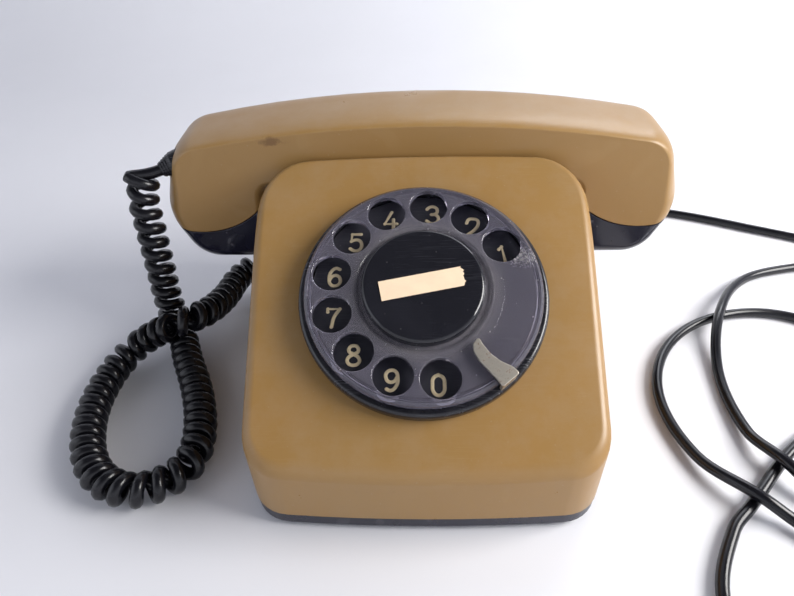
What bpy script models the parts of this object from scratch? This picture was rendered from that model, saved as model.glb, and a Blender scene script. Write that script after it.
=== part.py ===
"""Rotary desk telephone with a clear finger wheel, a bar handset and two free cords.

Metres, +X to the right of the dial, +Y to the back, +Z up. The feet stand on z = 0 and the
origin is under the middle of the body. Run it in Blender 4.5 with:
blender --background --python part.py
"""

import math

import bmesh
import bpy
from mathutils import Matrix, Vector
from mathutils.geometry import interpolate_bezier

MM = 0.001
GAP = 0.3 * MM              # clearance between pieces that touch on the real telephone
RUN = 0.5 * MM              # clearance between a turning piece and what it passes
CLOSEST = 0.9 * MM          # shortest edge of a rounded outline

# Body
BODY_HALF = 62 * MM         # half of the width at the step behind the face
NOSE_HALF = 58.6 * MM       # half of the width at the front
BODY_DEPTH = 160 * MM
BODY_BOW = 3 * MM           # how far the front and back walls bow outwards
FRONT_CORNER = 14 * MM
STEP_CORNER = 19 * MM
REAR_CORNER = 16 * MM
WALL = 2.5 * MM
FOOT_HEIGHT = 1.7 * MM
PLATE_BOTTOM = FOOT_HEIGHT + GAP
PLATE_HEIGHT = 5.2 * MM
PLATE_FLOOR = 2 * MM
PLATE_INSET = 0.3 * MM
SKIRT = PLATE_BOTTOM + PLATE_HEIGHT + GAP      # lower edge of the housing
FACE_EDGE_ROUND = 4 * MM

# Face and dial
FACE_SLOPE = math.radians(27.5)
DIAL_Y = -26 * MM
DIAL_Z = 58.1 * MM
WHEEL_RADIUS = 40 * MM
WHEEL_TOP = 8.5 * MM        # heights over the face, along the dial axis
WHEEL_THICK = 2.5 * MM
WHEEL_SKIRT = 3.3 * MM
HOLE_RADIUS = 6.57 * MM
HOLE_CIRCLE = 31.4 * MM
HOLE_COUNT = 10
HOLE_PITCH = math.radians(360 / 13)
FIRST_HOLE = math.radians(30.4)
BEZEL_RADIUS = 42.6 * MM
BEZEL_HEIGHT = 4.4 * MM
BEZEL_WIDTH = 4 * MM
NUMBER_TOP = 3.4 * MM
NUMBER_THICK = 2.4 * MM
CAP_RADIUS = 20.5 * MM
CAP_HEIGHT = 3.2 * MM
LABEL = (28.7 * MM, 7 * MM, 0.3 * MM)
LABEL_TURN = math.radians(11)
SHAFT_RADIUS = 3 * MM
OPENING_RADIUS = 37.5 * MM
STOP_ANGLE = math.radians(-50.5)

# Dial works
GEAR_MODULE = 0.96 * MM
GEAR_TEETH = 40
PINION_TEETH = 10
GEAR_TOP = -9 * MM
GEAR_THICK = 2 * MM
PINION_DIRECTION = math.pi

# Cradle
CRADLE_FRONT = 28.3 * MM
CRADLE_HALF = 60 * MM
CRADLE_FLOOR = 63 * MM
RIDGE_FRONT = 73.6 * MM
RIDGE_TOP = 79 * MM
PLUNGER_X = 30 * MM
PLUNGER_Y = 50 * MM
PLUNGER_RADIUS = 3.5 * MM
PLUNGER_LENGTH = 24 * MM
RIB_X = (45 * MM, 54 * MM)

# Handset
HAND_HALF = 108.6 * MM      # half of its length, at its widest
HAND_SHIFT = -1 * MM        # it lies a little to the left on the cradle
HAND_FRONT = 28.9 * MM
HAND_BACK = 73 * MM
HAND_UNDER = 70 * MM        # underside of the grip
HAND_LOW = 33 * MM
BULB_X = 92 * MM            # middle of the curved joint between shell and cap
BULB_Z = 86.6 * MM
BULB_RADIUS = 36 * MM
CAP_TOP = 66 * MM           # where the inner edge of each black cap ends
CAPSULE_X = 84 * MM
CAPSULE_RADIUS = 14 * MM
HOLLOW_RADIUS = 12 * MM     # hollow in the shell over each capsule
CHANNEL_HALF = 78 * MM      # wire channel through the grip, half of its length

# Cords
CURLY_RADIUS = 6.5 * MM
LINE_RADIUS = 2.1 * MM
COIL_PLACE = (222 * MM, -58 * MM)
COIL_RADIUS = 23 * MM       # middle of the turns
COIL_ROWS = 3
COIL_LAYERS = 2


# ---------------------------------------------------------------- helpers

def clear_scene():
    for old in list(bpy.data.objects):
        bpy.data.objects.remove(old, do_unlink=True)


def make_material(name, colour, roughness, metallic=0.0):
    material = bpy.data.materials.new(name)
    material.use_nodes = True
    shader = material.node_tree.nodes["Principled BSDF"]
    shader.inputs["Base Color"].default_value = (*colour, 1.0)
    shader.inputs["Roughness"].default_value = roughness
    shader.inputs["Metallic"].default_value = metallic
    material.diffuse_color = (*colour, 1.0)
    return material


def new_object(name, shape, material, parent=None, place=(0, 0, 0)):
    """Turn a bmesh into an object of its own."""
    bmesh.ops.remove_doubles(shape, verts=shape.verts, dist=1e-6)
    bmesh.ops.recalc_face_normals(shape, faces=shape.faces)
    mesh = bpy.data.meshes.new(name)
    shape.to_mesh(mesh)
    shape.free()
    mesh.materials.append(material)
    made = bpy.data.objects.new(name, mesh)
    made.location = place
    made.parent = parent
    bpy.context.scene.collection.objects.link(made)
    return made


def baked(made, operation, other):
    """Join or cut one object with another and drop the second one."""
    cut = made.modifiers.new("cut", "BOOLEAN")
    cut.operation = operation
    cut.object = other
    bpy.context.view_layer.update()
    graph = bpy.context.evaluated_depsgraph_get()
    mesh = bpy.data.meshes.new_from_object(made.evaluated_get(graph))
    mesh.name = made.name
    made.modifiers.clear()
    made.data = mesh
    bpy.data.objects.remove(other, do_unlink=True)
    shape = bmesh.new()
    shape.from_mesh(mesh)
    bmesh.ops.dissolve_degenerate(shape, edges=shape.edges, dist=2e-6)
    bmesh.ops.remove_doubles(shape, verts=shape.verts, dist=2e-6)
    shape.to_mesh(mesh)
    shape.free()
    return made


def cut_away(made, shape, place=(0, 0, 0)):
    return baked(made, "DIFFERENCE", new_object("cutter", shape, made.data.materials[0],
                                                made.parent, place))


def add_on(made, shape, place=(0, 0, 0)):
    return baked(made, "UNION", new_object("addition", shape, made.data.materials[0],
                                           made.parent, place))


def rounded(corners, steps=4, closest=CLOSEST):
    """Outline through corners of (x, y, radius), each rounded with an arc.

    A radius of None bows a whole side: its arc takes all the length that is free.
    """
    count = len(corners)
    spots = [Vector(corner[:2]) for corner in corners]
    reaches = []
    halves = []
    for i, (_, _, radius) in enumerate(corners):
        back = spots[i - 1] - spots[i]
        ahead = spots[(i + 1) % count] - spots[i]
        halves.append(back.angle(ahead) / 2)
        reaches.append(radius / math.tan(halves[i]) if radius is not None else None)
    for i, reach in enumerate(reaches):
        if reach is None:
            sides = [(spots[j % count] - spots[i]).length - reaches[j % count]
                     for j in (i - 1, i + 1)]
            reaches[i] = 0.98 * min(sides)
    points = []
    for i, here in enumerate(spots):
        if reaches[i] == 0:
            points.append(here)
            continue
        back = (spots[i - 1] - here).normalized()
        ahead = (spots[(i + 1) % count] - here).normalized()
        middle = here + (back + ahead).normalized() * (reaches[i] / math.cos(halves[i]))
        start = here + back * reaches[i] - middle
        sweep = (math.pi - 2 * halves[i]) * (1 if back.cross(ahead) < 0 else -1)
        for k in range(steps + 1):
            turn = Matrix.Rotation(sweep * k / steps, 2)
            points.append(middle + turn @ start)
    return [point for i, point in enumerate(points)
            if (point - points[i - 1]).length > closest]


def shrunk(points, by):
    """The same outline moved inwards; points run anticlockwise."""
    moved = []
    for i, point in enumerate(points):
        before = (point - points[i - 1]).normalized()
        after = (points[(i + 1) % len(points)] - point).normalized()
        along = (before + after).normalized()
        inward = Vector((-along.y, along.x))
        moved.append(point + inward * by / max(inward.dot(Vector((-after.y, after.x))), 0.5))
    return moved


def prism(outline, bottom, top):
    """Solid of an outline in X and Y between two heights."""
    shape = bmesh.new()
    ring = [shape.verts.new((x, y, bottom)) for x, y in outline]
    base = shape.faces.new(ring)
    grown = bmesh.ops.extrude_face_region(shape, geom=[base])["geom"]
    risen = [item for item in grown if isinstance(item, bmesh.types.BMVert)]
    bmesh.ops.translate(shape, verts=risen, vec=(0, 0, top - bottom))
    return shape


def box(low, high, edge_round=0.0):
    shape = bmesh.new()
    size = [b - a for a, b in zip(low, high)]
    centre = [(a + b) / 2 for a, b in zip(low, high)]
    bmesh.ops.create_cube(shape, size=1)
    bmesh.ops.scale(shape, verts=shape.verts, vec=size)
    bmesh.ops.translate(shape, verts=shape.verts, vec=centre)
    if edge_round:
        bmesh.ops.bevel(shape, geom=shape.edges[:], offset=edge_round, segments=2,
                        profile=0.5, affect="EDGES")
    return shape


def turned(profile, segments=48):
    """Solid of revolution about Z from a closed profile of (radius, height)."""
    shape = bmesh.new()
    ring = [shape.verts.new((max(r, 0), 0, z)) for r, z in profile]
    edges = [shape.edges.new((ring[i - 1], ring[i])) for i in range(len(ring))]
    bmesh.ops.spin(shape, geom=ring + edges, cent=(0, 0, 0), axis=(0, 0, 1),
                   angle=math.tau, steps=segments, use_merge=True, use_duplicate=False)
    bmesh.ops.remove_doubles(shape, verts=shape.verts, dist=1e-7)
    loose = [edge for edge in shape.edges if not edge.link_faces]
    bmesh.ops.delete(shape, geom=loose, context="EDGES")
    return shape


def rod(radius, bottom, top, segments=24):
    return turned([(0, bottom), (radius, bottom), (radius, top), (0, top)], segments)


def tube(inner, outer, bottom, top, segments=48):
    return turned([(inner, bottom), (outer, bottom), (outer, top), (inner, top)], segments)


def moved(shape, matrix):
    bmesh.ops.transform(shape, matrix=matrix, verts=shape.verts)
    return shape


def pointed(direction, place):
    """Matrix that turns +Z along a direction and carries it to a place."""
    turn = Vector(direction).to_track_quat("Z", "Y").to_matrix().to_4x4()
    return Matrix.Translation(place) @ turn


def smooth_route(points, spacing):
    """Evenly spaced points on a smooth curve through a route's own points."""
    knots = [Vector(point) for point in points]
    tangents = [knots[min(i + 1, len(knots) - 1)] - knots[max(i - 1, 0)]
                for i in range(len(knots))]
    dense = []
    for i in range(len(knots) - 1):
        reach = (knots[i + 1] - knots[i]).length / 3
        dense += interpolate_bezier(knots[i], knots[i] + tangents[i].normalized() * reach,
                                    knots[i + 1] - tangents[i + 1].normalized() * reach,
                                    knots[i + 1], 24)
    length = sum((b - a).length for a, b in zip(dense, dense[1:]))
    count = max(round(length / spacing), 2)
    route = [dense[0]]
    walked = 0.0
    for a, b in zip(dense, dense[1:]):
        walked += (b - a).length
        if walked >= length * len(route) / count and len(route) < count:
            route.append(b)
    return route + [dense[-1]]


def cord(name, points, radius, spacing, resolution, material):
    route = smooth_route(points, spacing)
    curve = bpy.data.curves.new(name, "CURVE")
    curve.dimensions = "3D"
    curve.bevel_depth = radius
    curve.bevel_resolution = resolution
    curve.use_fill_caps = True
    line = curve.splines.new("POLY")
    line.points.add(len(route) - 1)
    for knot, place in zip(line.points, route):
        knot.co = (*place, 1.0)
    curve.materials.append(material)
    made = bpy.data.objects.new(name, curve)
    bpy.context.scene.collection.objects.link(made)
    return made


# ---------------------------------------------------------------- materials

clear_scene()
TAN = make_material("tan_plastic", (0.36, 0.24, 0.11), 0.38)
BLACK = make_material("black_plastic", (0.012, 0.012, 0.016), 0.3)
CLEAR = make_material("clear_plastic", (0.55, 0.55, 0.58), 0.2)
CORD = make_material("cord_rubber", (0.008, 0.008, 0.011), 0.3)
RUBBER = make_material("foot_rubber", (0.015, 0.015, 0.015), 0.75)
STEEL = make_material("plated_steel", (0.45, 0.44, 0.42), 0.35, 1.0)
DULL_STEEL = make_material("worn_steel", (0.31, 0.27, 0.23), 0.45, 1.0)
BRASS = make_material("brass", (0.62, 0.43, 0.16), 0.35, 1.0)
PAPER = make_material("label_paper", (0.93, 0.72, 0.50), 0.8)
BOARD = make_material("circuit_board", (0.33, 0.19, 0.07), 0.55)
COPPER = make_material("enamelled_copper", (0.42, 0.13, 0.05), 0.4, 1.0)
WHITE = make_material("white_nylon", (0.75, 0.73, 0.68), 0.5)


# ---------------------------------------------------------------- body

def face_block_outline():
    """Plan of the raised block that carries the dial."""
    front = -BODY_DEPTH / 2
    step = CRADLE_FRONT
    return rounded([(-NOSE_HALF, front + BODY_BOW, FRONT_CORNER), (0, front - MM, None),
                    (NOSE_HALF, front + BODY_BOW, FRONT_CORNER), (BODY_HALF, 0, None),
                    (BODY_HALF - 0.6 * MM, step - 1.8 * MM, STEP_CORNER), (0, step + 0.8 * MM, None),
                    (-BODY_HALF + 0.6 * MM, step - 1.8 * MM, STEP_CORNER),
                    (-BODY_HALF, 0, None)])


def cradle_outline(front):
    """Plan of the lower block behind the face, from a given front edge."""
    back = BODY_DEPTH / 2
    return rounded([(-CRADLE_HALF, front, MM), (CRADLE_HALF, front, MM),
                    (CRADLE_HALF, back - BODY_BOW, REAR_CORNER), (0, back + 0.9 * MM, None),
                    (-CRADLE_HALF, back - BODY_BOW, REAR_CORNER)])


def face_block(inset, bottom, edge_round):
    """Raised block cut off along the sloping face, its upper edge rounded."""
    shape = prism(shrunk(face_block_outline(), inset), bottom, 0.11)
    normal = Vector((0, -math.sin(FACE_SLOPE), math.cos(FACE_SLOPE)))
    point = Vector((0, DIAL_Y, DIAL_Z)) - normal * inset
    cut = bmesh.ops.bisect_plane(shape, geom=shape.verts[:] + shape.edges[:] + shape.faces[:],
                                 plane_co=point, plane_no=normal, clear_outer=True)
    rim = [item for item in cut["geom_cut"] if isinstance(item, bmesh.types.BMEdge)]
    face = bmesh.ops.contextual_create(shape, geom=rim)["faces"][0]
    bmesh.ops.bevel(shape, geom=face.edges[:], offset=edge_round, segments=3, profile=0.5,
                    affect="EDGES")
    return shape


def soften(made, amount, steps, chosen):
    """Round the sharp outer edges whose two ends pass a test."""
    shape = bmesh.new()
    shape.from_mesh(made.data)
    sharp = [edge for edge in shape.edges if edge.is_manifold and edge.is_convex
             and edge.calc_face_angle() > math.radians(50) and all(chosen(v.co) for v in edge.verts)]
    bmesh.ops.bevel(shape, geom=sharp, offset=amount, segments=steps, profile=0.5,
                    affect="EDGES")
    shape.to_mesh(made.data)
    shape.free()


def cradle_block():
    """Lower block behind the face, with the trough for the grip and the ridge behind it."""
    block = new_object("cradle", prism(cradle_outline(5 * MM), SKIRT - 3 * MM, RIDGE_TOP), TAN)
    cut_away(block, box((-0.1, -0.05, CRADLE_FLOOR), (0.1, RIDGE_FRONT, 0.1)))
    soften(block, 2 * MM, 3, lambda spot: spot.z > CRADLE_FLOOR - MM and spot.y > 6 * MM)
    return block


SCREW_PLACES = [(-50 * MM, -66 * MM), (50 * MM, -66 * MM), (-48 * MM, 67 * MM), (48 * MM, 67 * MM)]
BASE_GLAND = Vector((-CRADLE_HALF, 57.5 * MM, 15 * MM))
LINE_GLAND = Vector((42 * MM, 79.6 * MM, 13 * MM))


def make_housing():
    under = SKIRT - 3 * MM
    housing = new_object("housing", face_block(0, under, FACE_EDGE_ROUND), TAN)
    baked(housing, "UNION", cradle_block())
    for side in (-1, 1):
        low, high = sorted((side * RIB_X[0], side * RIB_X[1]))
        add_on(housing, box((low, 33 * MM, CRADLE_FLOOR - MM),
                            (high, 69 * MM, HAND_UNDER - GAP), MM))
    cut_away(housing, face_block(WALL, under - 5 * MM, 2 * MM))
    cut_away(housing, prism(shrunk(cradle_outline(0), WALL), under - 6 * MM, CRADLE_FLOOR - WALL))
    for x, y in SCREW_PLACES:
        post_top = 22 * MM
        add_on(housing, box((x - 4 * MM if x > 0 else -0.0605, y - 3.6 * MM, under - MM),
                            (0.0605 if x > 0 else x + 4 * MM, y + 3.6 * MM, post_top)))
        cut_away(housing, rod(1.8 * MM, under - 2 * MM, post_top - 5 * MM, 12), (x, y, 0))
    cut_away(housing, box((-0.1, -0.1, -0.02), (0.1, 0.1, SKIRT)))
    across = Matrix.Translation((0, DIAL_Y, DIAL_Z)) @ Matrix.Rotation(FACE_SLOPE, 4, "X")
    cut_away(housing, moved(rod(OPENING_RADIUS, -8 * MM, 8 * MM, 48), across))
    for side in (-1, 1):
        cut_away(housing, rod(PLUNGER_RADIUS + GAP, CRADLE_FLOOR - 8 * MM, CRADLE_FLOOR + MM, 24),
                 (side * PLUNGER_X, PLUNGER_Y, 0))
    cut_away(housing, moved(rod(3.9 * MM, -6 * MM, 6 * MM, 20), pointed((1, 0, 0), BASE_GLAND)))
    cut_away(housing, moved(rod(3.2 * MM, -6 * MM, 6 * MM, 20), pointed((0, 1, 0), LINE_GLAND)))
    return housing


def plate_outline():
    """Plan of the base plate, under the whole body."""
    half = BODY_DEPTH / 2
    return rounded([(-NOSE_HALF, -half + BODY_BOW, FRONT_CORNER), (0, -half - MM, None),
                    (NOSE_HALF, -half + BODY_BOW, FRONT_CORNER), (BODY_HALF, 0, None),
                    (CRADLE_HALF, 45 * MM, 0.4), (CRADLE_HALF, half - BODY_BOW, REAR_CORNER),
                    (0, half + 0.9 * MM, None), (-CRADLE_HALF, half - BODY_BOW, REAR_CORNER),
                    (-CRADLE_HALF, 45 * MM, 0.4), (-BODY_HALF, 0, None)])


BOARD_POSTS = [(x, y) for x in (-31 * MM, 31 * MM) for y in (-58 * MM, -26 * MM)]
BOARD_BOTTOM = 10 * MM


def make_base_plate():
    top = PLATE_BOTTOM + PLATE_HEIGHT
    floor = PLATE_BOTTOM + PLATE_FLOOR
    shape = prism(shrunk(plate_outline(), PLATE_INSET), PLATE_BOTTOM, top)
    plate = new_object("base_plate", shape, BLACK)
    cut_away(plate, prism(shrunk(plate_outline(), 3.4 * MM), floor, top + MM))
    for x, y in SCREW_PLACES:
        add_on(plate, rod(4.6 * MM, floor - MM, top - MM, 16), (x, y, 0))
        cut_away(plate, turned([(0, -MM), (3.5 * MM, -MM), (3.5 * MM, PLATE_BOTTOM + 1.6 * MM),
                                (1.8 * MM, PLATE_BOTTOM + 1.6 * MM), (1.8 * MM, top + MM),
                                (0, top + MM)], 14), (x, y, 0))
    for x, y in BOARD_POSTS:
        add_on(plate, rod(2.6 * MM, floor - MM, BOARD_BOTTOM - GAP, 12), (x, y, 0))
    return plate


def make_feet_and_screws():
    for label, x, y in (("front_left", -44, -62), ("front_right", 44, -62),
                        ("rear_left", -44, 58), ("rear_right", 44, 58)):
        profile = [(0, 0), (6 * MM, 0), (7 * MM, 0.5 * MM), (7 * MM, FOOT_HEIGHT),
                   (0, FOOT_HEIGHT)]
        new_object("foot_" + label, turned(profile, 20), RUBBER, None, (x * MM, y * MM, 0))
    for i, (x, y) in enumerate(SCREW_PLACES):
        head = PLATE_BOTTOM + 0.2 * MM
        profile = [(0, head), (3.1 * MM, head), (3.1 * MM, head + 1.1 * MM),
                   (1.5 * MM, head + 1.1 * MM), (1.5 * MM, 16 * MM), (0, 16 * MM)]
        new_object(f"base_screw_{i + 1}", turned(profile, 14), STEEL, None, (x, y, 0))


# ---------------------------------------------------------------- dial

def dial_axis():
    """Empty whose +Z is the dial axis, out of the face, and whose +Y runs up the face."""
    axis = bpy.data.objects.new("dial_axis", None)
    axis.location = (0, DIAL_Y, DIAL_Z)
    axis.rotation_euler = (FACE_SLOPE, 0, 0)
    bpy.context.scene.collection.objects.link(axis)
    return axis


def make_dial_fixed(axis):
    inner = BEZEL_RADIUS - BEZEL_WIDTH
    top = GAP + BEZEL_HEIGHT
    profile = [(inner, GAP), (BEZEL_RADIUS, GAP), (BEZEL_RADIUS, top - 1.6 * MM),
               (BEZEL_RADIUS - 0.5 * MM, top - 0.5 * MM), (BEZEL_RADIUS - 1.6 * MM, top),
               (inner, top)]
    new_object("dial_bezel", turned(profile, 48), BLACK, axis)
    plate = tube(SHAFT_RADIUS + RUN, inner - GAP, NUMBER_TOP - NUMBER_THICK, NUMBER_TOP, 48)
    new_object("number_plate", plate, BLACK, axis)
    frame = new_object("dial_frame", tube(SHAFT_RADIUS + RUN, OPENING_RADIUS - MM, -2.2 * MM,
                                          NUMBER_TOP - NUMBER_THICK - GAP, 36), DULL_STEEL, axis)
    bridge_y = 26 * MM
    for side in (-1, 1):
        add_on(frame, box((-5 * MM, side * bridge_y - 2 * MM, -20 * MM),
                          (5 * MM, side * bridge_y + 2 * MM, -1.5 * MM)))
    add_on(frame, box((-5 * MM, -bridge_y - 2 * MM, -21.5 * MM), (5 * MM, bridge_y + 2 * MM,
                                                                  -19.5 * MM)))
    cut_away(frame, rod(SHAFT_RADIUS + RUN, -25 * MM, -15 * MM, 24))
    make_finger_stop(axis)


def make_finger_stop(axis):
    """Curved steel hook over the wheel, standing on the bezel outside the wheel's edge."""
    over = WHEEL_TOP + 1.4 * MM
    outer = 41.9 * MM
    direction = Vector((math.cos(STOP_ANGLE), math.sin(STOP_ANGLE)))
    across = Vector((-direction.y, direction.x))

    def at(radius, side):
        spot = direction * radius + across * side
        return (spot.x, spot.y)

    outline = [at(outer, -3.6 * MM), at(outer, 3.6 * MM), at(38.8 * MM, 3.2 * MM),
               at(35.3 * MM, 1.6 * MM), at(31.5 * MM, 0.9 * MM), at(27.8 * MM, 1.1 * MM),
               at(25 * MM, 1.7 * MM), at(26 * MM, -MM), at(27.7 * MM, -2.6 * MM),
               at(31.3 * MM, -3.4 * MM), at(35.7 * MM, -3.3 * MM), at(39.3 * MM, -3.2 * MM)]
    stop = new_object("finger_stop", prism([Vector(p) for p in outline], over, over + 1.3 * MM),
                      DULL_STEEL, axis)
    foot = [at(outer - 0.1 * MM, -3.3 * MM), at(outer - 0.1 * MM, 3.3 * MM),
            at(40.6 * MM, 3.1 * MM), at(40.6 * MM, -3.1 * MM)]
    add_on(stop, prism([Vector(p) for p in foot], 2 * GAP + BEZEL_HEIGHT, over + 0.8 * MM))


def hole_places():
    for i in range(HOLE_COUNT):
        angle = FIRST_HOLE + i * HOLE_PITCH
        yield HOLE_CIRCLE * math.cos(angle), HOLE_CIRCLE * math.sin(angle)


def make_finger_wheel(axis):
    top = WHEEL_TOP
    low = top - WHEEL_THICK
    skirt = top - WHEEL_SKIRT
    profile = [(SHAFT_RADIUS + GAP, 5 * MM), (7 * MM, 5 * MM), (7 * MM, low - 0.2 * MM),
               (22 * MM, low - 0.2 * MM), (23 * MM, low), (37.5 * MM, low), (38.2 * MM, skirt),
               (WHEEL_RADIUS, skirt), (WHEEL_RADIUS, top - 1.2 * MM),
               (WHEEL_RADIUS - 0.9 * MM, top - 0.3 * MM), (WHEEL_RADIUS - 2 * MM, top),
               (22.8 * MM, top), (22 * MM, top - 0.8 * MM), (SHAFT_RADIUS + GAP, top - 0.8 * MM)]
    wheel = new_object("finger_wheel", turned(profile, 48), CLEAR, axis)
    for x, y in hole_places():
        cut_away(wheel, rod(HOLE_RADIUS, low - 2 * MM, top + 2 * MM, 20), (x, y, 0))
    return wheel


def gear_outline(teeth, phase):
    """Gear plan with slim teeth, so that it runs with play."""
    pitch = GEAR_MODULE * teeth / 2
    root = pitch - 0.95 * GEAR_MODULE
    tip = pitch + 0.6 * GEAR_MODULE
    step = math.tau / teeth
    points = []
    for i in range(teeth):
        for radius, share in ((root, -0.22), (tip, -0.1), (tip, 0.1), (root, 0.22)):
            angle = phase + (i + share) * step
            points.append(Vector((radius * math.cos(angle), radius * math.sin(angle))))
    return points


def make_dial_moving(axis):
    make_finger_wheel(axis)
    low = WHEEL_TOP - 0.8 * MM + GAP
    top = WHEEL_TOP + CAP_HEIGHT
    edge = 1.6 * MM
    profile = [(0, low), (CAP_RADIUS, low), (CAP_RADIUS, top - edge),
               (CAP_RADIUS - 0.3 * edge, top - 0.3 * edge), (CAP_RADIUS - edge, top), (0, top)]
    new_object("centre_cap", turned(profile, 36), BLACK, axis)
    label = box((-LABEL[0] / 2, -LABEL[1] / 2, top + GAP),
                (LABEL[0] / 2, LABEL[1] / 2, top + GAP + LABEL[2]))
    new_object("label_card", moved(label, Matrix.Rotation(LABEL_TURN, 4, "Z")), PAPER, axis)
    shaft_top = WHEEL_TOP - 0.8 * MM - GAP
    new_object("main_shaft", rod(SHAFT_RADIUS, -24 * MM, shaft_top, 24), STEEL, axis)
    gear = new_object("main_gear", prism(gear_outline(GEAR_TEETH, PINION_DIRECTION),
                                         GEAR_TOP - GEAR_THICK, GEAR_TOP), BRASS, axis)
    cut_away(gear, rod(SHAFT_RADIUS + GAP, -12 * MM, -8 * MM, 24))
    cam = [Vector((math.cos(a) * r, math.sin(a) * r)) for a, r in
           ((math.tau * i / 36, (8 + 1.2 * (i % 12 < 6)) * MM) for i in range(36))]
    disc = new_object("pulse_cam", prism(cam, -14.5 * MM, -12.5 * MM), WHITE, axis)
    cut_away(disc, rod(SHAFT_RADIUS + GAP, -16 * MM, -11 * MM, 24))


def make_dial_works(axis):
    new_object("return_spring", tube(SHAFT_RADIUS + 1.2 * MM, 9 * MM, -7.5 * MM, -3 * MM, 24),
               DULL_STEEL, axis)
    distance = GEAR_MODULE * (GEAR_TEETH + PINION_TEETH) / 2 + 0.1 * MM
    place = (distance * math.cos(PINION_DIRECTION), distance * math.sin(PINION_DIRECTION), 0)
    phase = PINION_DIRECTION + math.pi + math.pi / PINION_TEETH
    pinion = prism(gear_outline(PINION_TEETH, phase), GEAR_TOP - GEAR_THICK - 0.4 * MM,
                   GEAR_TOP + 0.4 * MM)
    governor = new_object("governor_pinion", pinion, BRASS, axis, place)
    add_on(governor, rod(1.5 * MM, -20 * MM, -4 * MM, 16), place)
    add_on(governor, box((-5.4 * MM, -1.6 * MM, -17.5 * MM), (5.4 * MM, 1.6 * MM, -14.5 * MM)),
           place)
    cup = turned([(2 * MM, -19.4 * MM), (8.2 * MM, -19.4 * MM), (8.2 * MM, -13 * MM),
                  (6.8 * MM, -13 * MM), (6.8 * MM, -18.2 * MM), (2 * MM, -18.2 * MM)], 20)
    new_object("governor_cup", cup, STEEL, axis, place)
    for name, start in (("pulse_contact_inner", 10.4), ("pulse_contact_outer", 12.6)):
        blade = box((start * MM, -12 * MM, -14.6 * MM), ((start + 0.8) * MM, 9 * MM, -12.4 * MM))
        new_object(name, blade, BRASS, axis)
    holder = box((9.6 * MM, -19 * MM, -16 * MM), (14.4 * MM, -12.4 * MM, -11.4 * MM))
    new_object("contact_holder", holder, WHITE, axis)


# ---------------------------------------------------------------- cradle and hook switch

LEVER_AXIS = Vector((0, 20 * MM, 42 * MM))


def make_hook_works():
    top = HAND_UNDER - GAP
    for name, side in (("plunger_left", -1), ("plunger_right", 1)):
        low = top - PLUNGER_LENGTH
        profile = [(0, low), (PLUNGER_RADIUS, low), (PLUNGER_RADIUS, top - 0.8 * MM),
                   (PLUNGER_RADIUS - 0.8 * MM, top), (0, top)]
        new_object(name, turned(profile, 24), BLACK, None, (side * PLUNGER_X, PLUNGER_Y, 0))
    under = top - PLUNGER_LENGTH - GAP - LEVER_AXIS.z
    half = 34 * MM
    reach = PLUNGER_Y + 4 * MM - LEVER_AXIS.y
    lever = new_object("hook_lever", box((-half, 3 * MM, under - 2.4 * MM), (half, reach, under)),
                       DULL_STEEL, None, LEVER_AXIS)
    cut_away(lever, box((-24 * MM, 8 * MM, -0.01), (24 * MM, reach - 8 * MM, 0.01)), LEVER_AXIS)
    across = pointed((1, 0, 0), (0, 0, 0))
    add_on(lever, moved(rod(4 * MM, -half, half, 20), across), LEVER_AXIS)
    cut_away(lever, moved(rod(1.8 * MM, -half - MM, half + MM, 16), across), LEVER_AXIS)
    pin = moved(rod(1.5 * MM, -42 * MM, 42 * MM, 16), across)
    new_object("hook_pin", pin, STEEL, None, LEVER_AXIS)
    floor = PLATE_BOTTOM + PLATE_FLOOR + GAP
    bracket = new_object("hook_bracket", box((-40 * MM, 4 * MM, floor), (40 * MM, 25 * MM,
                                                                         floor + 2 * MM)), STEEL)
    for side in (-1, 1):
        low, high = sorted((side * 37.5 * MM, side * 40 * MM))
        add_on(bracket, box((low, 5 * MM, floor + MM), (high, 24 * MM, 47 * MM)))
    add_on(bracket, box((-39 * MM, 6 * MM, 26 * MM), (39 * MM, 23 * MM, 28 * MM)))
    cut_away(bracket, moved(rod(1.8 * MM, -45 * MM, 45 * MM, 16), across), LEVER_AXIS)
    new_object("hook_switch", box((-9 * MM, 7 * MM, 28 * MM + GAP), (9 * MM, 15 * MM, 37 * MM),
                                  0.6 * MM), WHITE)


# ---------------------------------------------------------------- ringer and circuit

GONG_X = 26 * MM
GONG_Y = 52 * MM
GONG_RADIUS = 22 * MM
CLAPPER_AXIS = Vector((0, 33 * MM, 0))


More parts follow.
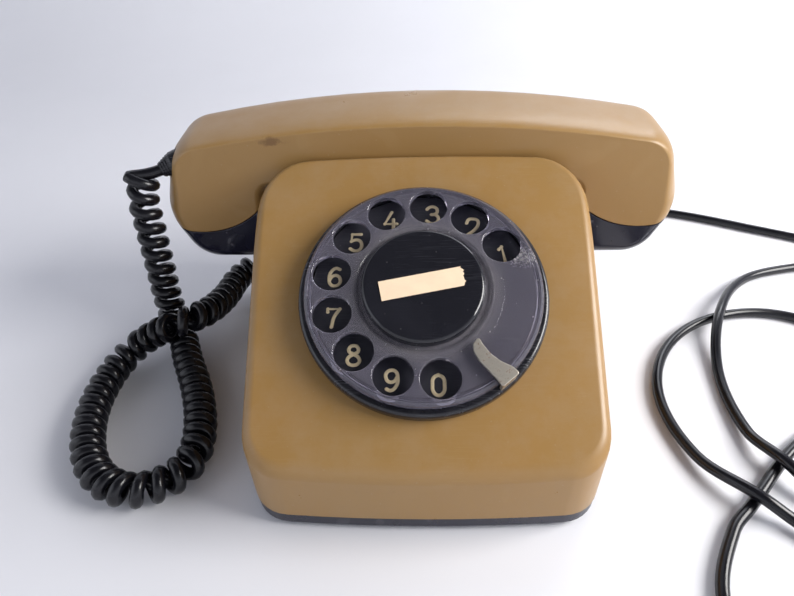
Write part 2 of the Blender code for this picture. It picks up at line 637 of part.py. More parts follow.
def make_ringer():
    floor = PLATE_BOTTOM + PLATE_FLOOR + GAP
    frame = new_object("ringer_frame", box((-34 * MM, 29 * MM, floor), (34 * MM, 56 * MM,
                                                                       floor + 2 * MM)), STEEL)
    for side in (-1, 1):
        add_on(frame, rod(3 * MM, floor + MM, 24 * MM, 20), (side * GONG_X, GONG_Y, 0))
    add_on(frame, rod(1.2 * MM, floor + MM, 30 * MM, 16), CLAPPER_AXIS)
    for front in (36.5 * MM, 49.5 * MM):
        add_on(frame, box((-4 * MM, front, floor + MM), (4 * MM, front + 2 * MM, 21 * MM)))
    coil = tube(2 * MM, 6.5 * MM, -4.9 * MM, 4.9 * MM, 28)
    new_object("ringer_coil", moved(coil, pointed((0, 1, 0), (0, 0, 0))), COPPER, None,
               (0, 44 * MM, 14 * MM))
    for name, side in (("gong_left", -1), ("gong_right", 1)):
        profile = [(1.6 * MM, 31.5 * MM), (1.6 * MM, 33 * MM), (12 * MM, 32.4 * MM),
                   (19 * MM, 29.2 * MM), (GONG_RADIUS, 22 * MM),
                   (GONG_RADIUS - 1.5 * MM, 22 * MM), (18 * MM, 28 * MM), (11.6 * MM, 30.9 * MM)]
        place = (side * GONG_X, GONG_Y, 0)
        new_object(name, turned(profile, 28), STEEL, None, place)
        screw = [(0, 24 * MM + GAP), (1.3 * MM, 24 * MM + GAP), (1.3 * MM, 33.3 * MM),
                 (3 * MM, 33.3 * MM), (3 * MM, 34.8 * MM), (0, 34.8 * MM)]
        new_object(name.replace("gong", "gong_screw"), turned(screw, 14), BRASS, None, place)
    arm = box((-0.7 * MM, 2 * MM, 24.4 * MM), (0.7 * MM, 21 * MM, 25.8 * MM))
    clapper = new_object("clapper", arm, DULL_STEEL, None, CLAPPER_AXIS)
    add_on(clapper, tube(1.2 * MM + GAP, 3.2 * MM, 22.5 * MM, 27 * MM, 20), CLAPPER_AXIS)
    ball = bmesh.new()
    bmesh.ops.create_uvsphere(ball, u_segments=12, v_segments=8, radius=2.4 * MM)
    add_on(clapper, moved(ball, Matrix.Translation((0, 21 * MM, 25.1 * MM))), CLAPPER_AXIS)


def make_circuit():
    top = BOARD_BOTTOM + 1.6 * MM
    new_object("circuit_board", box((-35 * MM, -62 * MM, BOARD_BOTTOM), (35 * MM, -22 * MM, top)),
               BOARD)
    seat = top + GAP
    core = new_object("induction_coil", box((-28 * MM, -52 * MM, seat), (-6 * MM, -34 * MM,
                                                                         seat + 15 * MM)),
                      DULL_STEEL)
    add_on(core, box((-24 * MM, -55 * MM, seat + 2 * MM), (-10 * MM, -31 * MM, seat + 13 * MM),
                     1.5 * MM))
    new_object("capacitor", box((4 * MM, -58 * MM, seat), (28 * MM, -46 * MM, seat + 13 * MM),
                                1.2 * MM), WHITE)
    block = new_object("terminal_block", box((0, -36 * MM, seat), (32 * MM, -26 * MM,
                                                                  seat + 9 * MM), 0.5 * MM), BLACK)
    for i in range(4):
        cut_away(block, rod(1.6 * MM, seat + 5 * MM, seat + 12 * MM, 14),
                 ((4 + 8 * i) * MM, -31 * MM, 0))


# ---------------------------------------------------------------- handset

def hand_outline(middle, rear):
    """Side outline of the handset in X and Z, at its middle (1) or at its flat faces (0).

    The rear half falls away lower than the front half.
    """
    def mix(face, full):
        return face + (full - face) * middle

    half = HAND_HALF
    shoulder, crown = (74 * MM, 92 * MM) if rear else (86.4 * MM, 103.5 * MM)
    right = [(mix(96 * MM, 99 * MM), mix(shoulder, 88.3 * MM), mix(12, 15) * MM),
             (mix(half - 9 * MM, half + 0.8 * MM), 57 * MM, mix(18, 24) * MM),
             (mix(93 * MM, 98 * MM), mix(41 * MM, HAND_LOW), mix(10, 16) * MM),
             (mix(70 * MM, 64 * MM), mix(41 * MM, HAND_LOW), mix(6, 9) * MM),
             (mix(67 * MM, 62.6 * MM), mix(74 * MM, HAND_UNDER), 7 * MM)]
    left = [(-x, z, r) for x, z, r in reversed(right)]
    corners = ([(0, mix(crown, 106.4 * MM), None)] + right
               + [(0, mix(74 * MM, HAND_UNDER), 0)] + left)
    return rounded(corners, 5, 0)


def hand_rounding(share):
    """How full the outline is, from 0 at a flat face to 1 at the middle."""
    edge = 0.36
    near = min(share, 1 - share)
    if near >= edge:
        return 1.0
    return math.sqrt(1 - (1 - near / edge) ** 2)


def hand_solid():
    shape = bmesh.new()
    shares = [0, 0.02, 0.07, 0.15, 0.25, 0.36, 0.64, 0.74, 0.83, 0.91, 0.97, 1]
    rings = []
    for share in shares:
        y = HAND_FRONT + (HAND_BACK - HAND_FRONT) * share
        outline = hand_outline(hand_rounding(share), share > 0.5)
        rings.append([shape.verts.new((x, y, z)) for x, z in outline])
    for near, far in zip(rings, rings[1:]):
        for i in range(len(near)):
            shape.faces.new((near[i - 1], near[i], far[i], far[i - 1]))
    shape.faces.new(rings[0])
    shape.faces.new(rings[-1])
    return shape


HAND_Y = (HAND_FRONT + HAND_BACK) / 2
GLAND_ROOT = Vector((-95 * MM, 37 * MM, 81 * MM))
GLAND_TIP = Vector((-104.5 * MM, 33.4 * MM, 77.8 * MM))


def bulb_cutter(radius, side):
    across = pointed((0, 1, 0), (side * BULB_X, HAND_Y, BULB_Z))
    return moved(rod(radius, -0.04, 0.04, 60), across)


def handset_gland(extra):
    direction = GLAND_TIP - GLAND_ROOT
    length = direction.length
    profile = [(0, -extra), (5 * MM + extra, -extra), (5 * MM + extra, 0.45 * length),
               (3.2 * MM + extra, length), (0, length)]
    return moved(turned(profile, 24), pointed(direction, GLAND_ROOT))


def make_handset():
    rest = bpy.data.objects.new("handset_rest", None)
    rest.location = (HAND_SHIFT, 0, 0)
    bpy.context.scene.collection.objects.link(rest)
    shell = new_object("handset_shell", hand_solid(), TAN, rest)
    for side in (-1, 1):
        low = new_object("below", box((-0.033, -0.04, -0.06), (0.033, 0.04, 0)), TAN, rest,
                         (side * BULB_X, HAND_Y, BULB_Z - 10 * MM))
        baked(low, "DIFFERENCE", new_object("disc", bulb_cutter(BULB_RADIUS, side), TAN, rest))
        baked(shell, "DIFFERENCE", low)
        pocket = rod(HOLLOW_RADIUS, 40 * MM, 80 * MM, 36)
        cut_away(shell, pocket, (side * CAPSULE_X, HAND_Y, 0))
    cut_away(shell, box((-CHANNEL_HALF, HAND_Y - 10 * MM, 76 * MM),
                        (CHANNEL_HALF, HAND_Y + 10 * MM, 86 * MM)))
    cut_away(shell, handset_gland(GAP))
    new_object("handset_gland", handset_gland(0), BLACK, rest)
    for name, inside, side in (("ear_cap", "receiver_capsule", 1),
                               ("mouth_cap", "transmitter_capsule", -1)):
        cap = new_object(name, hand_solid(), BLACK, rest)
        baked(cap, "DIFFERENCE", new_object("disc", bulb_cutter(BULB_RADIUS + GAP, side), BLACK,
                                            rest))
        cut_away(cap, box((-0.2, -0.1, CAP_TOP), (0.2, 0.2, 0.2)))
        low, high = sorted((-side * 0.2, side * 63 * MM))
        cut_away(cap, box((low, -0.1, 0), (high, 0.2, 0.2)))
        place = (side * CAPSULE_X, HAND_Y, 0)
        cut_away(cap, rod(CAPSULE_RADIUS + GAP, 38.5 * MM, 60 * MM, 36), place)
        capsule = turned([(0, 38.8 * MM), (CAPSULE_RADIUS, 38.8 * MM),
                          (CAPSULE_RADIUS, 45 * MM), (CAPSULE_RADIUS - 3 * MM, 49 * MM),
                          (0, 49 * MM)], 32)
        new_object(inside, capsule, STEEL, rest, place)


# ---------------------------------------------------------------- cords

CURLY_ROUTE = [(-113.4, 30.4, 75.4), (-115.6, 29.4, 67), (-115.6, 27.5, 54), (-115.4, 25, 38),
               (-114.8, 21.5, 22), (-112.4, 17, 11.5), (-107.8, 10, 7.3), (-102, -2.9, 6.8),
               (-91.7, -23.6, 6.8), (-85.6, -42, 6.8), (-85, -55.5, 6.8), (-90.6, -64, 6.8),
               (-101.5, -68.4, 6.8), (-112.6, -65.4, 6.8), (-121.4, -57.6, 6.8),
               (-127.6, -46, 6.8), (-131.6, -30.3, 6.8), (-131.6, -13, 6.8), (-126.4, 0.6, 8.6),
               (-115.6, 3.8, 15), (-103.6, 4.4, 20.6), (-95.4, 14, 18.4), (-91.6, 30, 14.2),
               (-89, 46, 13), (-82, 56, 13.6), (-74, 57.5, 15), (-67.4, 57.5, 15)]

LINE_ROUTE = [(42, 86.5, 13), (42, 101, 12.8), (49, 110, 9), (66, 118, 4.2), (122, 121, 2.4),
              (147.5, 116, 2.4), (183, 99.8, 2.4), (218, 81, 2.4), (222, 70.5, 2.4),
              (208, 63.4, 2.4), (189.3, 63.3, 2.4), (160, 53.6, 2.6), (135.6, 24.1, 7),
              (123.8, -8, 2.4), (121.7, -39.8, 3.2), (127.4, -57, 7), (140, -76, 2.6),
              (169, -91, 2.4), (172, -101, 2.4), (161, -107, 2.4), (145, -101, 2.4),
              (121.6, -77.8, 4), (112.6, -70.6, 7), (98.9, -51.5, 3.4), (95, -22, 2.4),
              (106.5, 5.2, 2.4), (130, 23.6, 2.4), (160, 28.3, 2.4), (185, 15, 2.4),
              (190, 0, 2.4), (183, -16, 2.4), (136.4, -47.1, 2.4), (110, -71.6, 2.4),
              (101.1, -80, 2.4), (89.4, -101, 2.4), (92, -112, 2.4), (106, -119, 2.4),
              (163, -117, 2.4), (186, -109, 2.4), (203, -96.6, 2.4)]


def in_metres(points):
    return [tuple(value * MM for value in point) for point in points]


def make_cords():
    cord("curly_cord", in_metres(CURLY_ROUTE), CURLY_RADIUS, 11 * MM, 3, CORD)
    cord("line_cord", in_metres(LINE_ROUTE), LINE_RADIUS, 15 * MM, 2, CORD)
    flange = [(0, -5 * MM), (3.5 * MM, -5 * MM), (3.5 * MM, GAP), (5.6 * MM, GAP),
              (5.6 * MM, 2.2 * MM), (3.6 * MM, 3.4 * MM), (3.3 * MM, 6.8 * MM), (0, 6.8 * MM)]
    new_object("base_cord_gland", moved(turned(flange, 18), pointed((-1, 0, 0), BASE_GLAND)),
               BLACK)
    flange = [(0, -5 * MM), (2.8 * MM, -5 * MM), (2.8 * MM, GAP + 0.4 * MM),
              (4.6 * MM, GAP + 0.4 * MM), (4.6 * MM, 2.2 * MM), (3 * MM, 3.2 * MM),
              (2.5 * MM, 6.5 * MM), (0, 6.5 * MM)]
    new_object("line_cord_gland", moved(turned(flange, 18), pointed((0, 1, 0), LINE_GLAND)), BLACK)
    spread = COIL_ROWS * LINE_RADIUS + 0.6 * MM
    height = COIL_LAYERS * 2 * LINE_RADIUS + 0.5 * MM
    inner = COIL_RADIUS - spread
    outer = COIL_RADIUS + spread
    low = 0.2 * MM
    ring = turned([(inner, low), (outer, low), (outer, low + height), (inner, low + height)], 32)
    new_object("line_cord_coil", ring, CORD, None, (*COIL_PLACE, 0))
    tie = new_object("coil_tie", box((inner - 2.2 * MM, -4 * MM, low),
                                     (outer + 1.5 * MM, 4 * MM, low + height + 1.6 * MM)), RUBBER,
                     None, (*COIL_PLACE, 0))
    cut_away(tie, box((inner - MM, -5 * MM, -MM), (outer + GAP, 5 * MM, low + height + GAP)),
             (*COIL_PLACE, 0))
    plug_low = low + height + 1.6 * MM + GAP
    plug = new_object("line_plug", box((-15 * MM, -10 * MM, plug_low), (15 * MM, 10 * MM,
                                                                       plug_low + 13 * MM),
                                       1.5 * MM), BLACK, None, (*COIL_PLACE, 0))
    for side in (-1, 1):
        pin = rod(1.8 * MM, 13 * MM, 27 * MM, 14)
        turn = pointed((-1, 0, 0), (0, side * 5 * MM, plug_low + 6.5 * MM))
        add_on(plug, moved(pin, turn), (*COIL_PLACE, 0))


# ---------------------------------------------------------------- assembly

make_base_plate()
make_housing()
make_feet_and_screws()
DIAL = dial_axis()
make_dial_fixed(DIAL)
make_dial_moving(DIAL)
make_dial_works(DIAL)
make_hook_works()
make_ringer()
make_circuit()
make_handset()
make_cords()
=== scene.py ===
"""Finished look of a rotary desk telephone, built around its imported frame.

Every measure is in metres, +X runs along the handset, +Y to the back and +Z up.
"""

import math

import bmesh
import bpy
from bpy.props import FloatProperty, FloatVectorProperty, IntProperty, PointerProperty
from bpy.types import Operator, Panel, PropertyGroup
from mathutils import Matrix, Vector, noise
from mathutils.geometry import interpolate_bezier


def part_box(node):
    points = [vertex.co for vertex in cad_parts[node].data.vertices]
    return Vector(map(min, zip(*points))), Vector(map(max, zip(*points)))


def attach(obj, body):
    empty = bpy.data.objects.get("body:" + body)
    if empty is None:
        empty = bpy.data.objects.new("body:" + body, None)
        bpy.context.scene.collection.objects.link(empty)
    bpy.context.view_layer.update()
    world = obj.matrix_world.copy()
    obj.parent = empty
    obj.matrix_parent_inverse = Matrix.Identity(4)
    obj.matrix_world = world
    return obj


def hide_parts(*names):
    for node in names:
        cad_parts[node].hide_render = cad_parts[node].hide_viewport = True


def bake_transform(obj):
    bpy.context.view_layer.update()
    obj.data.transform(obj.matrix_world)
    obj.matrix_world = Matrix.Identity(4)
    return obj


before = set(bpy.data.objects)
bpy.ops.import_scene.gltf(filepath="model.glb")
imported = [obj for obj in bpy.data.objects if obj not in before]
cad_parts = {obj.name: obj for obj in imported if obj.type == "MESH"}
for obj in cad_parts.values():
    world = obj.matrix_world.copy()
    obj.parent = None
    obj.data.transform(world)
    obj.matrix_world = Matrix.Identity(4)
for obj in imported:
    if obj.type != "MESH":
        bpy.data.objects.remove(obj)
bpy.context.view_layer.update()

bl_info = {
    "name": "Rotary Desk Telephone",
    "version": (1, 0, 0),
    "blender": (4, 5, 0),
    "location": "3D View > Sidebar > Telephone",
    "description": "Adds the finished pieces of a rotary desk telephone around its frame",
    "category": "Add Mesh",
}

MM = 0.001
GAP = 0.3 * MM                 # clearance between two pieces

# Body
FACE_SLOPE = math.radians(27.5)
DIAL_CENTRE = Vector((0, -26 * MM, 58.1 * MM))
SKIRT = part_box("housing")[0].z  # lower edge of the housing
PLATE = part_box("base_plate")
SIDE_BOW = 3 * MM              # how far the front and back walls bulge
NOSE_CORNER = 14 * MM
STEP_CORNER = 19 * MM
REAR_CORNER = 16 * MM
FACE_STEP = 28.3 * MM          # back edge of the raised block
CRADLE_FLOOR = 63 * MM
CRADLE_HALF = 60 * MM
RIDGE_FRONT = 73.6 * MM
RIDGE_TOP = 79 * MM
RIB = (45 * MM, 54 * MM)       # inner and outer side of a rib under the grip
SCREW_PLACES = [(-50 * MM, -66 * MM), (50 * MM, -66 * MM), (-48 * MM, 67 * MM),
                (48 * MM, 67 * MM)]

# Dial, in heights above the face
NUMBER_LEVEL = 3.4 * MM
BEZEL_OUTER = 42.6 * MM
BEZEL_INNER = 38.6 * MM
BEZEL_TOP = 4.7 * MM
WHEEL_SKIRT = 5 * MM
WHEEL_LOW = 6 * MM
WHEEL_TOP = 8.5 * MM
CAP_TOP = 11.7 * MM
HOLE_PITCH = math.tau / 13

# Handset
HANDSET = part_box("handset_shell")
HAND_MID = (HANDSET[0].x + HANDSET[1].x) / 2
HAND_Y = (HANDSET[0].y + HANDSET[1].y) / 2
HAND_FRONT = 28.9 * MM
HAND_BACK = 73 * MM
HAND_LOW = 33 * MM
HAND_GRIP = 70 * MM            # underside of the grip
BULB_X = 92 * MM               # axis and radius of the joint between shell and cap
BULB_Z = 86.6 * MM
BULB_RADIUS = 36 * MM
CAPSULE_X = 84 * MM

# Cords
BASE_GLAND = Vector((-60 * MM, 57.5 * MM, 15 * MM))
LINE_GLAND = Vector((42 * MM, 79.6 * MM, 13 * MM))
COIL_PLACE = Vector((222 * MM, -58 * MM, 0))
COIL_MIDDLE = 23 * MM          # radius of the coil's middle row

CURLY_ROUTE = [
    (-112.4, 30.4, 75.4), (-114.6, 29.4, 67), (-114.8, 27.5, 54), (-114.8, 25, 38),
    (-114.4, 21.5, 22), (-112.4, 17, 11.5), (-107.8, 10, 7.3), (-102, -2.9, 6.8),
    (-91.7, -23.6, 6.8), (-85.6, -42, 6.8), (-85, -55.5, 6.8), (-90.6, -64, 6.8),
    (-101.5, -68.4, 6.8), (-112.6, -65.4, 6.8), (-121.4, -57.6, 6.8), (-127.6, -46, 6.8),
    (-131.6, -30.3, 6.8), (-131.6, -13, 6.8), (-126.4, 0.6, 8.6), (-115.6, 3.8, 15),
    (-103.6, 4.4, 20.6), (-95.4, 14, 18.4), (-91.6, 30, 14.2), (-89, 46, 13),
    (-82, 56, 13.6), (-74, 57.5, 15), (-67.4, 57.5, 15)]

LINE_ROUTE = [
    (42, 86.5, 13), (42, 101, 12.8), (49, 110, 9), (66, 118, 4.2), (122, 121, 2.4),
    (147.5, 116, 2.4), (183, 99.8, 2.4), (218, 81, 2.4), (222, 70.5, 2.4), (208, 63.4, 2.4),
    (189.3, 63.3, 2.4), (160, 53.6, 2.6), (135.6, 24.1, 7), (123.8, -8, 2.4),
    (121.7, -39.8, 3.2), (127.4, -57, 7), (140, -76, 2.6), (169, -91, 2.4),
    (172, -101, 2.4), (161, -107, 2.4), (145, -101, 2.4), (121.6, -77.8, 4),
    (112.6, -70.6, 7), (98.9, -51.5, 3.4), (95, -22, 2.4), (106.5, 5.2, 2.4),
    (130, 23.6, 2.4), (160, 28.3, 2.4), (185, 15, 2.4), (190, 0, 2.4), (183, -16, 2.4),
    (136.4, -47.1, 2.4), (110, -71.6, 2.4), (101.1, -80, 2.4), (89.4, -101, 2.4),
    (92, -112, 2.4), (106, -119, 2.4), (163, -117, 2.4), (186, -109, 2.4),
    (203, -96.6, 2.4)]


# ------------------------------------------------------------------ settings

class TelephoneFinish(PropertyGroup):
    """Colours and wear of the telephone's materials."""

    moulding: FloatVectorProperty(
        name="Moulding", description="Colour of the housing and the handset",
        subtype="COLOR", size=3, min=0, max=1, default=(0.315, 0.186, 0.066))
    black: FloatVectorProperty(
        name="Black Moulding", description="Colour of the base, the caps and the bezel",
        subtype="COLOR", size=3, min=0, max=1, default=(0.008, 0.008, 0.011))
    sheath: FloatVectorProperty(
        name="Cord Sheath", description="Colour of both cords",
        subtype="COLOR", size=3, min=0, max=1, default=(0.004, 0.004, 0.006))
    digit: FloatVectorProperty(
        name="Digits", description="Colour of the printed digits",
        subtype="COLOR", size=3, min=0, max=1, default=(0.66, 0.54, 0.34))
    card: FloatVectorProperty(
        name="Card", description="Colour of the paper card on the centre cap",
        subtype="COLOR", size=3, min=0, max=1, default=(0.93, 0.72, 0.50))
    wear: FloatProperty(
        name="Wear", description="Strength of scratches and stains", default=1.0, min=0, max=2)
    dust: FloatProperty(
        name="Dust", description="Strength of the dust film", default=1.0, min=0, max=2)


class TelephoneBody(PropertyGroup):
    """Sizes of the housing and the handset."""

    width: FloatProperty(
        name="Width", description="Width at the step behind the face",
        unit="LENGTH", default=124 * MM)
    nose: FloatProperty(
        name="Nose Width", description="Width at the front wall",
        unit="LENGTH", default=117.2 * MM)
    depth: FloatProperty(
        name="Depth", description="Depth from the front wall to the back wall",
        unit="LENGTH", default=160 * MM)
    face_edge: FloatProperty(
        name="Face Edge", description="Radius of the edge round the sloping face",
        unit="LENGTH", default=4 * MM)
    wall: FloatProperty(
        name="Wall", description="Thickness of the moulded wall",
        unit="LENGTH", default=2.5 * MM)
    grip: FloatProperty(
        name="Handset Half Length", description="Half of the handset's length",
        unit="LENGTH", default=108.6 * MM)


class TelephoneDial(PropertyGroup):
    """Sizes of the dial."""

    wheel_radius: FloatProperty(
        name="Wheel Radius", description="Radius of the clear finger wheel",
        unit="LENGTH", default=40 * MM)
    hole_radius: FloatProperty(
        name="Hole Radius", description="Radius of a finger hole",
        unit="LENGTH", default=6.57 * MM)
    hole_circle: FloatProperty(
        name="Hole Circle", description="Radius of the circle of holes",
        unit="LENGTH", default=31.4 * MM)
    digit_circle: FloatProperty(
        name="Digit Circle", description="Radius of the circle of digits",
        unit="LENGTH", default=31.5 * MM)
    digit_height: FloatProperty(
        name="Digit Height", description="Height of a digit",
        unit="LENGTH", default=7.9 * MM)
    stroke: FloatProperty(
        name="Digit Stroke", description="Width of a digit's stroke",
        unit="LENGTH", default=1.2 * MM)
    first_hole: FloatProperty(
        name="First Hole", description="Direction of the first hole from the right",
        subtype="ANGLE", default=math.radians(30.4))


class TelephoneCords(PropertyGroup):
    """Sizes of the two cords."""

    wire: FloatProperty(
        name="Curly Wire", description="Diameter of the curly cord's wire",
        unit="LENGTH", default=4.7 * MM)
    coil_radius: FloatProperty(
        name="Curl Radius", description="Radius of the curls, to the middle of the wire",
        unit="LENGTH", default=4.15 * MM)
    line: FloatProperty(
        name="Line Cord", description="Diameter of the line cord",
        unit="LENGTH", default=4.2 * MM)
    rows: IntProperty(
        name="Coil Rows", description="Turns side by side in the stored coil", default=3, min=1)
    layers: IntProperty(
        name="Coil Layers", description="Turns on top of each other", default=2, min=1)


class TelephoneStage(PropertyGroup):
    """Camera, floor and light."""

    lens: FloatProperty(
        name="Lens", description="Focal length of the camera", subtype="DISTANCE_CAMERA",
        default=27.204)
    floor: FloatVectorProperty(
        name="Floor", description="Colour of the floor", subtype="COLOR", size=3,
        min=0, max=1, default=(0.80, 0.80, 0.84))
    key: FloatProperty(
        name="Key Light", description="Strength of the large light, in watts", default=6.2)
    surround: FloatProperty(
        name="Surround", description="Strength of the even light from all round", default=1.1)


# ------------------------------------------------------------------ shaping

def rounded(corners, steps=8, closest=0.5 * MM):
    """Outline through corners of (x, y, radius); a radius of None bows a whole side."""
    spots = [Vector((x, y, 0)) for x, y, _ in corners]
    count = len(spots)
    sides = []
    for i, (_, _, radius) in enumerate(corners):
        back = (spots[i - 1] - spots[i]).normalized()
        ahead = (spots[(i + 1) % count] - spots[i]).normalized()
        half = back.angle(ahead) / 2
        reach = None if radius is None else radius / math.tan(half)
        sides.append([back, ahead, half, reach])
    for i, side in enumerate(sides):
        if side[3] is None:
            free = [(spots[j % count] - spots[i]).length - sides[j % count][3]
                    for j in (i - 1, i + 1)]
            side[3] = 0.98 * min(free)
    points = []
    for spot, (back, ahead, half, reach) in zip(spots, sides):
        if reach == 0:
            points.append(spot)
            continue
        handle = reach * math.tan(half) * 4 / 3 * math.tan((math.pi - 2 * half) / 4)
        start = spot + back * reach
        end = spot + ahead * reach
        points += interpolate_bezier(start, start - back * handle, end - ahead * handle, end,
                                     steps + 1)
    return [point for i, point in enumerate(points)
            if (point - points[i - 1]).length > closest]


def shrunk(points, by):
    """The same outline moved inwards; its points run anticlockwise."""
    inner = []
    for i, point in enumerate(points):
        before = (point - points[i - 1]).normalized()
        after = (points[(i + 1) % len(points)] - point).normalized()
        along = (before + after).normalized()
        inward = Vector((-along.y, along.x, 0))
        inner.append(point + inward * by / max(inward.dot(Vector((-after.y, after.x, 0))), 0.5))
    return inner


def prism(outline, bottom, top):
    """Solid of an outline between two heights."""
    shape = bmesh.new()
    ring = [shape.verts.new((point.x, point.y, bottom)) for point in outline]
    bmesh.ops.remove_doubles(shape, verts=ring, dist=0.15 * MM)
    base = bmesh.ops.contextual_create(shape, geom=loop_of(shape))["faces"]
    grown = bmesh.ops.extrude_face_region(shape, geom=base)["geom"]
    risen = [item for item in grown if isinstance(item, bmesh.types.BMVert)]
    bmesh.ops.translate(shape, verts=risen, vec=(0, 0, top - bottom))
    return shape


def loop_of(shape):
    """Join the loose vertices of a bmesh into one closed loop of edges."""
    shape.verts.ensure_lookup_table()
    spots = shape.verts[:]
    return [shape.edges.new((spots[i - 1], spots[i])) for i in range(len(spots))]


def block(low, high, edge=0.0, steps=3):
    shape = bmesh.new()
    size = [b - a for a, b in zip(low, high)]
    centre = [(a + b) / 2 for a, b in zip(low, high)]
    bmesh.ops.create_cube(shape, size=1)
    bmesh.ops.scale(shape, verts=shape.verts, vec=size)
    bmesh.ops.translate(shape, verts=shape.verts, vec=centre)
    if edge:
        bevelled(shape, shape.edges[:], edge, steps)
    return shape


def bevelled(shape, edges, width, steps=3):
    bmesh.ops.bevel(shape, geom=edges, offset=width, segments=steps, profile=0.5,
                    affect="EDGES", material=-1)
    return shape


def spun(profile, segments=96):
    """Solid of revolution about Z from a closed profile of (radius, height)."""
    shape = bmesh.new()
    ring = [shape.verts.new((max(r, 0), 0, z)) for r, z in profile]
    edges = [shape.edges.new((ring[i - 1], ring[i])) for i in range(len(ring))]
    bmesh.ops.spin(shape, geom=ring + edges, cent=(0, 0, 0), axis=(0, 0, 1),
                   angle=math.tau, steps=segments, use_merge=True, use_duplicate=False)
    bmesh.ops.remove_doubles(shape, verts=shape.verts, dist=1e-7)
    loose = [edge for edge in shape.edges if not edge.link_faces]
    bmesh.ops.delete(shape, geom=loose, context="EDGES")
    return shape


def rod(radius, bottom, top, segments=48):
    return spun([(0, bottom), (radius, bottom), (radius, top), (0, top)], segments)


def moved(shape, matrix):
    bmesh.ops.transform(shape, matrix=matrix, verts=shape.verts)
    return shape


def pointed(direction, place):
    """Matrix that turns +Z along a direction and carries it to a place."""
    turn = Vector(direction).to_track_quat("Z", "Y").to_matrix().to_4x4()
    return Matrix.Translation(place) @ turn


def on_face():
    """Matrix from the dial's own frame, +Z out of the face, to the world."""
    return Matrix.Translation(DIAL_CENTRE) @ Matrix.Rotation(FACE_SLOPE, 4, "X")


def solid(name, shape):
    """Turn a bmesh into a mesh object at the origin."""
    bmesh.ops.remove_doubles(shape, verts=shape.verts, dist=1e-6)
    bmesh.ops.recalc_face_normals(shape, faces=shape.faces)
    mesh = bpy.data.meshes.new(name)
    shape.to_mesh(mesh)
    shape.free()
    made = bpy.data.objects.new(name, mesh)
    bpy.context.scene.collection.objects.link(made)
    return made


def joined(made, shape, operation="DIFFERENCE"):
    """Cut a shape from an object, or add it on."""
    other = solid("tool", shape)
    cut = made.modifiers.new("cut", "BOOLEAN")
    cut.operation = operation
    cut.object = other
    bpy.context.view_layer.update()
    graph = bpy.context.evaluated_depsgraph_get()
    mesh = bpy.data.meshes.new_from_object(made.evaluated_get(graph))
    mesh.name = made.name
    made.modifiers.clear()
    made.data = mesh
    bpy.data.objects.remove(other, do_unlink=True)
    cleaned = bmesh.new()
    cleaned.from_mesh(mesh)
    bmesh.ops.dissolve_degenerate(cleaned, edges=cleaned.edges, dist=2e-6)
    bmesh.ops.remove_doubles(cleaned, verts=cleaned.verts, dist=2e-6)
    cleaned.to_mesh(mesh)
    cleaned.free()
    return made


def soften(made, amount, steps, chosen):
    """Round the sharp outer edges whose two ends pass a test."""
    shape = bmesh.new()
    shape.from_mesh(made.data)
    sharp = [edge for edge in shape.edges if edge.is_manifold and edge.is_convex
             and edge.calc_face_angle() > math.radians(50)
             and all(chosen(vert.co) for vert in edge.verts)]
    bevelled(shape, sharp, amount, steps)
    shape.to_mesh(made.data)
    shape.free()


def finished(made, material, body, nodes=(), crease=32):
    """Shade a piece, give it its material and set it in the frame."""
    made.data.materials.clear()
    made.data.materials.append(material)
    made.data.shade_smooth()
    made.data.set_sharp_from_angle(angle=math.radians(crease))
    weighted = made.modifiers.new("even shading", "WEIGHTED_NORMAL")
    weighted.keep_sharp = True
    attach(made, body)
    if nodes:
        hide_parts(*nodes)
    return made


def smooth_route(points, spacing):
    """Evenly spaced points on a smooth curve through a route's own points."""
    knots = [Vector(point) * MM for point in points]
    dense = []
    for i in range(len(knots) - 1):
        start, end = knots[i], knots[i + 1]
        reach = (end - start).length / 3
        dense += interpolate_bezier(start, start + heading(knots, i) * reach,
                                    end - heading(knots, i + 1) * reach, end, 24)
    return spaced(dense, spacing)


def heading(knots, i):
    return (knots[min(i + 1, len(knots) - 1)] - knots[max(i - 1, 0)]).normalized()


def spaced(dense, spacing):
    """The same line as points at even distances."""
    length = sum((b - a).length for a, b in zip(dense, dense[1:]))
    step = length / max(round(length / spacing), 2)
    route = [dense[0]]
    left = step
    for a, b in zip(dense, dense[1:]):
        part = (b - a).length
        while part > 0 and left <= part:
            a = a.lerp(b, left / part)
            part = (b - a).length
            route.append(a)
            left = step
        left -= part
    if (route[-1] - dense[-1]).length < step / 2:
        route.pop()
    return route + [dense[-1]]


# ------------------------------------------------------------------ shared effects

def new_group(name, inputs, outputs):
    tree = bpy.data.node_groups.new(name, "ShaderNodeTree")
    for label, kind, value in inputs:
        socket = tree.interface.new_socket(label, in_out="INPUT", socket_type=kind)
        if value is not None:
            socket.default_value = value
    for label, kind in outputs:
        tree.interface.new_socket(label, in_out="OUTPUT", socket_type=kind)
    return tree, tree.nodes.new("NodeGroupInput"), tree.nodes.new("NodeGroupOutput")


def node(tree, kind, inputs=None, **settings):
    made = tree.nodes.new(kind)
    for key, value in settings.items():
        setattr(made, key, value)
    for key, value in (inputs or {}).items():
        socket = made.inputs[key]
        if isinstance(value, bpy.types.NodeSocket):
            tree.links.new(value, socket)
        else:
            socket.default_value = value
    return made


def math_node(tree, operation, first, second=0.0, clamp=False):
    return node(tree, "ShaderNodeMath", {0: first, 1: second}, operation=operation,
                use_clamp=clamp).outputs[0]


def banded(tree, value, low, high, to_low=0.0, to_high=1.0):
    """Map a value from one range to another, held at both ends."""
    return node(tree, "ShaderNodeMapRange", {0: value, 1: low, 2: high, 3: to_low, 4: to_high},
                clamp=True).outputs[0]


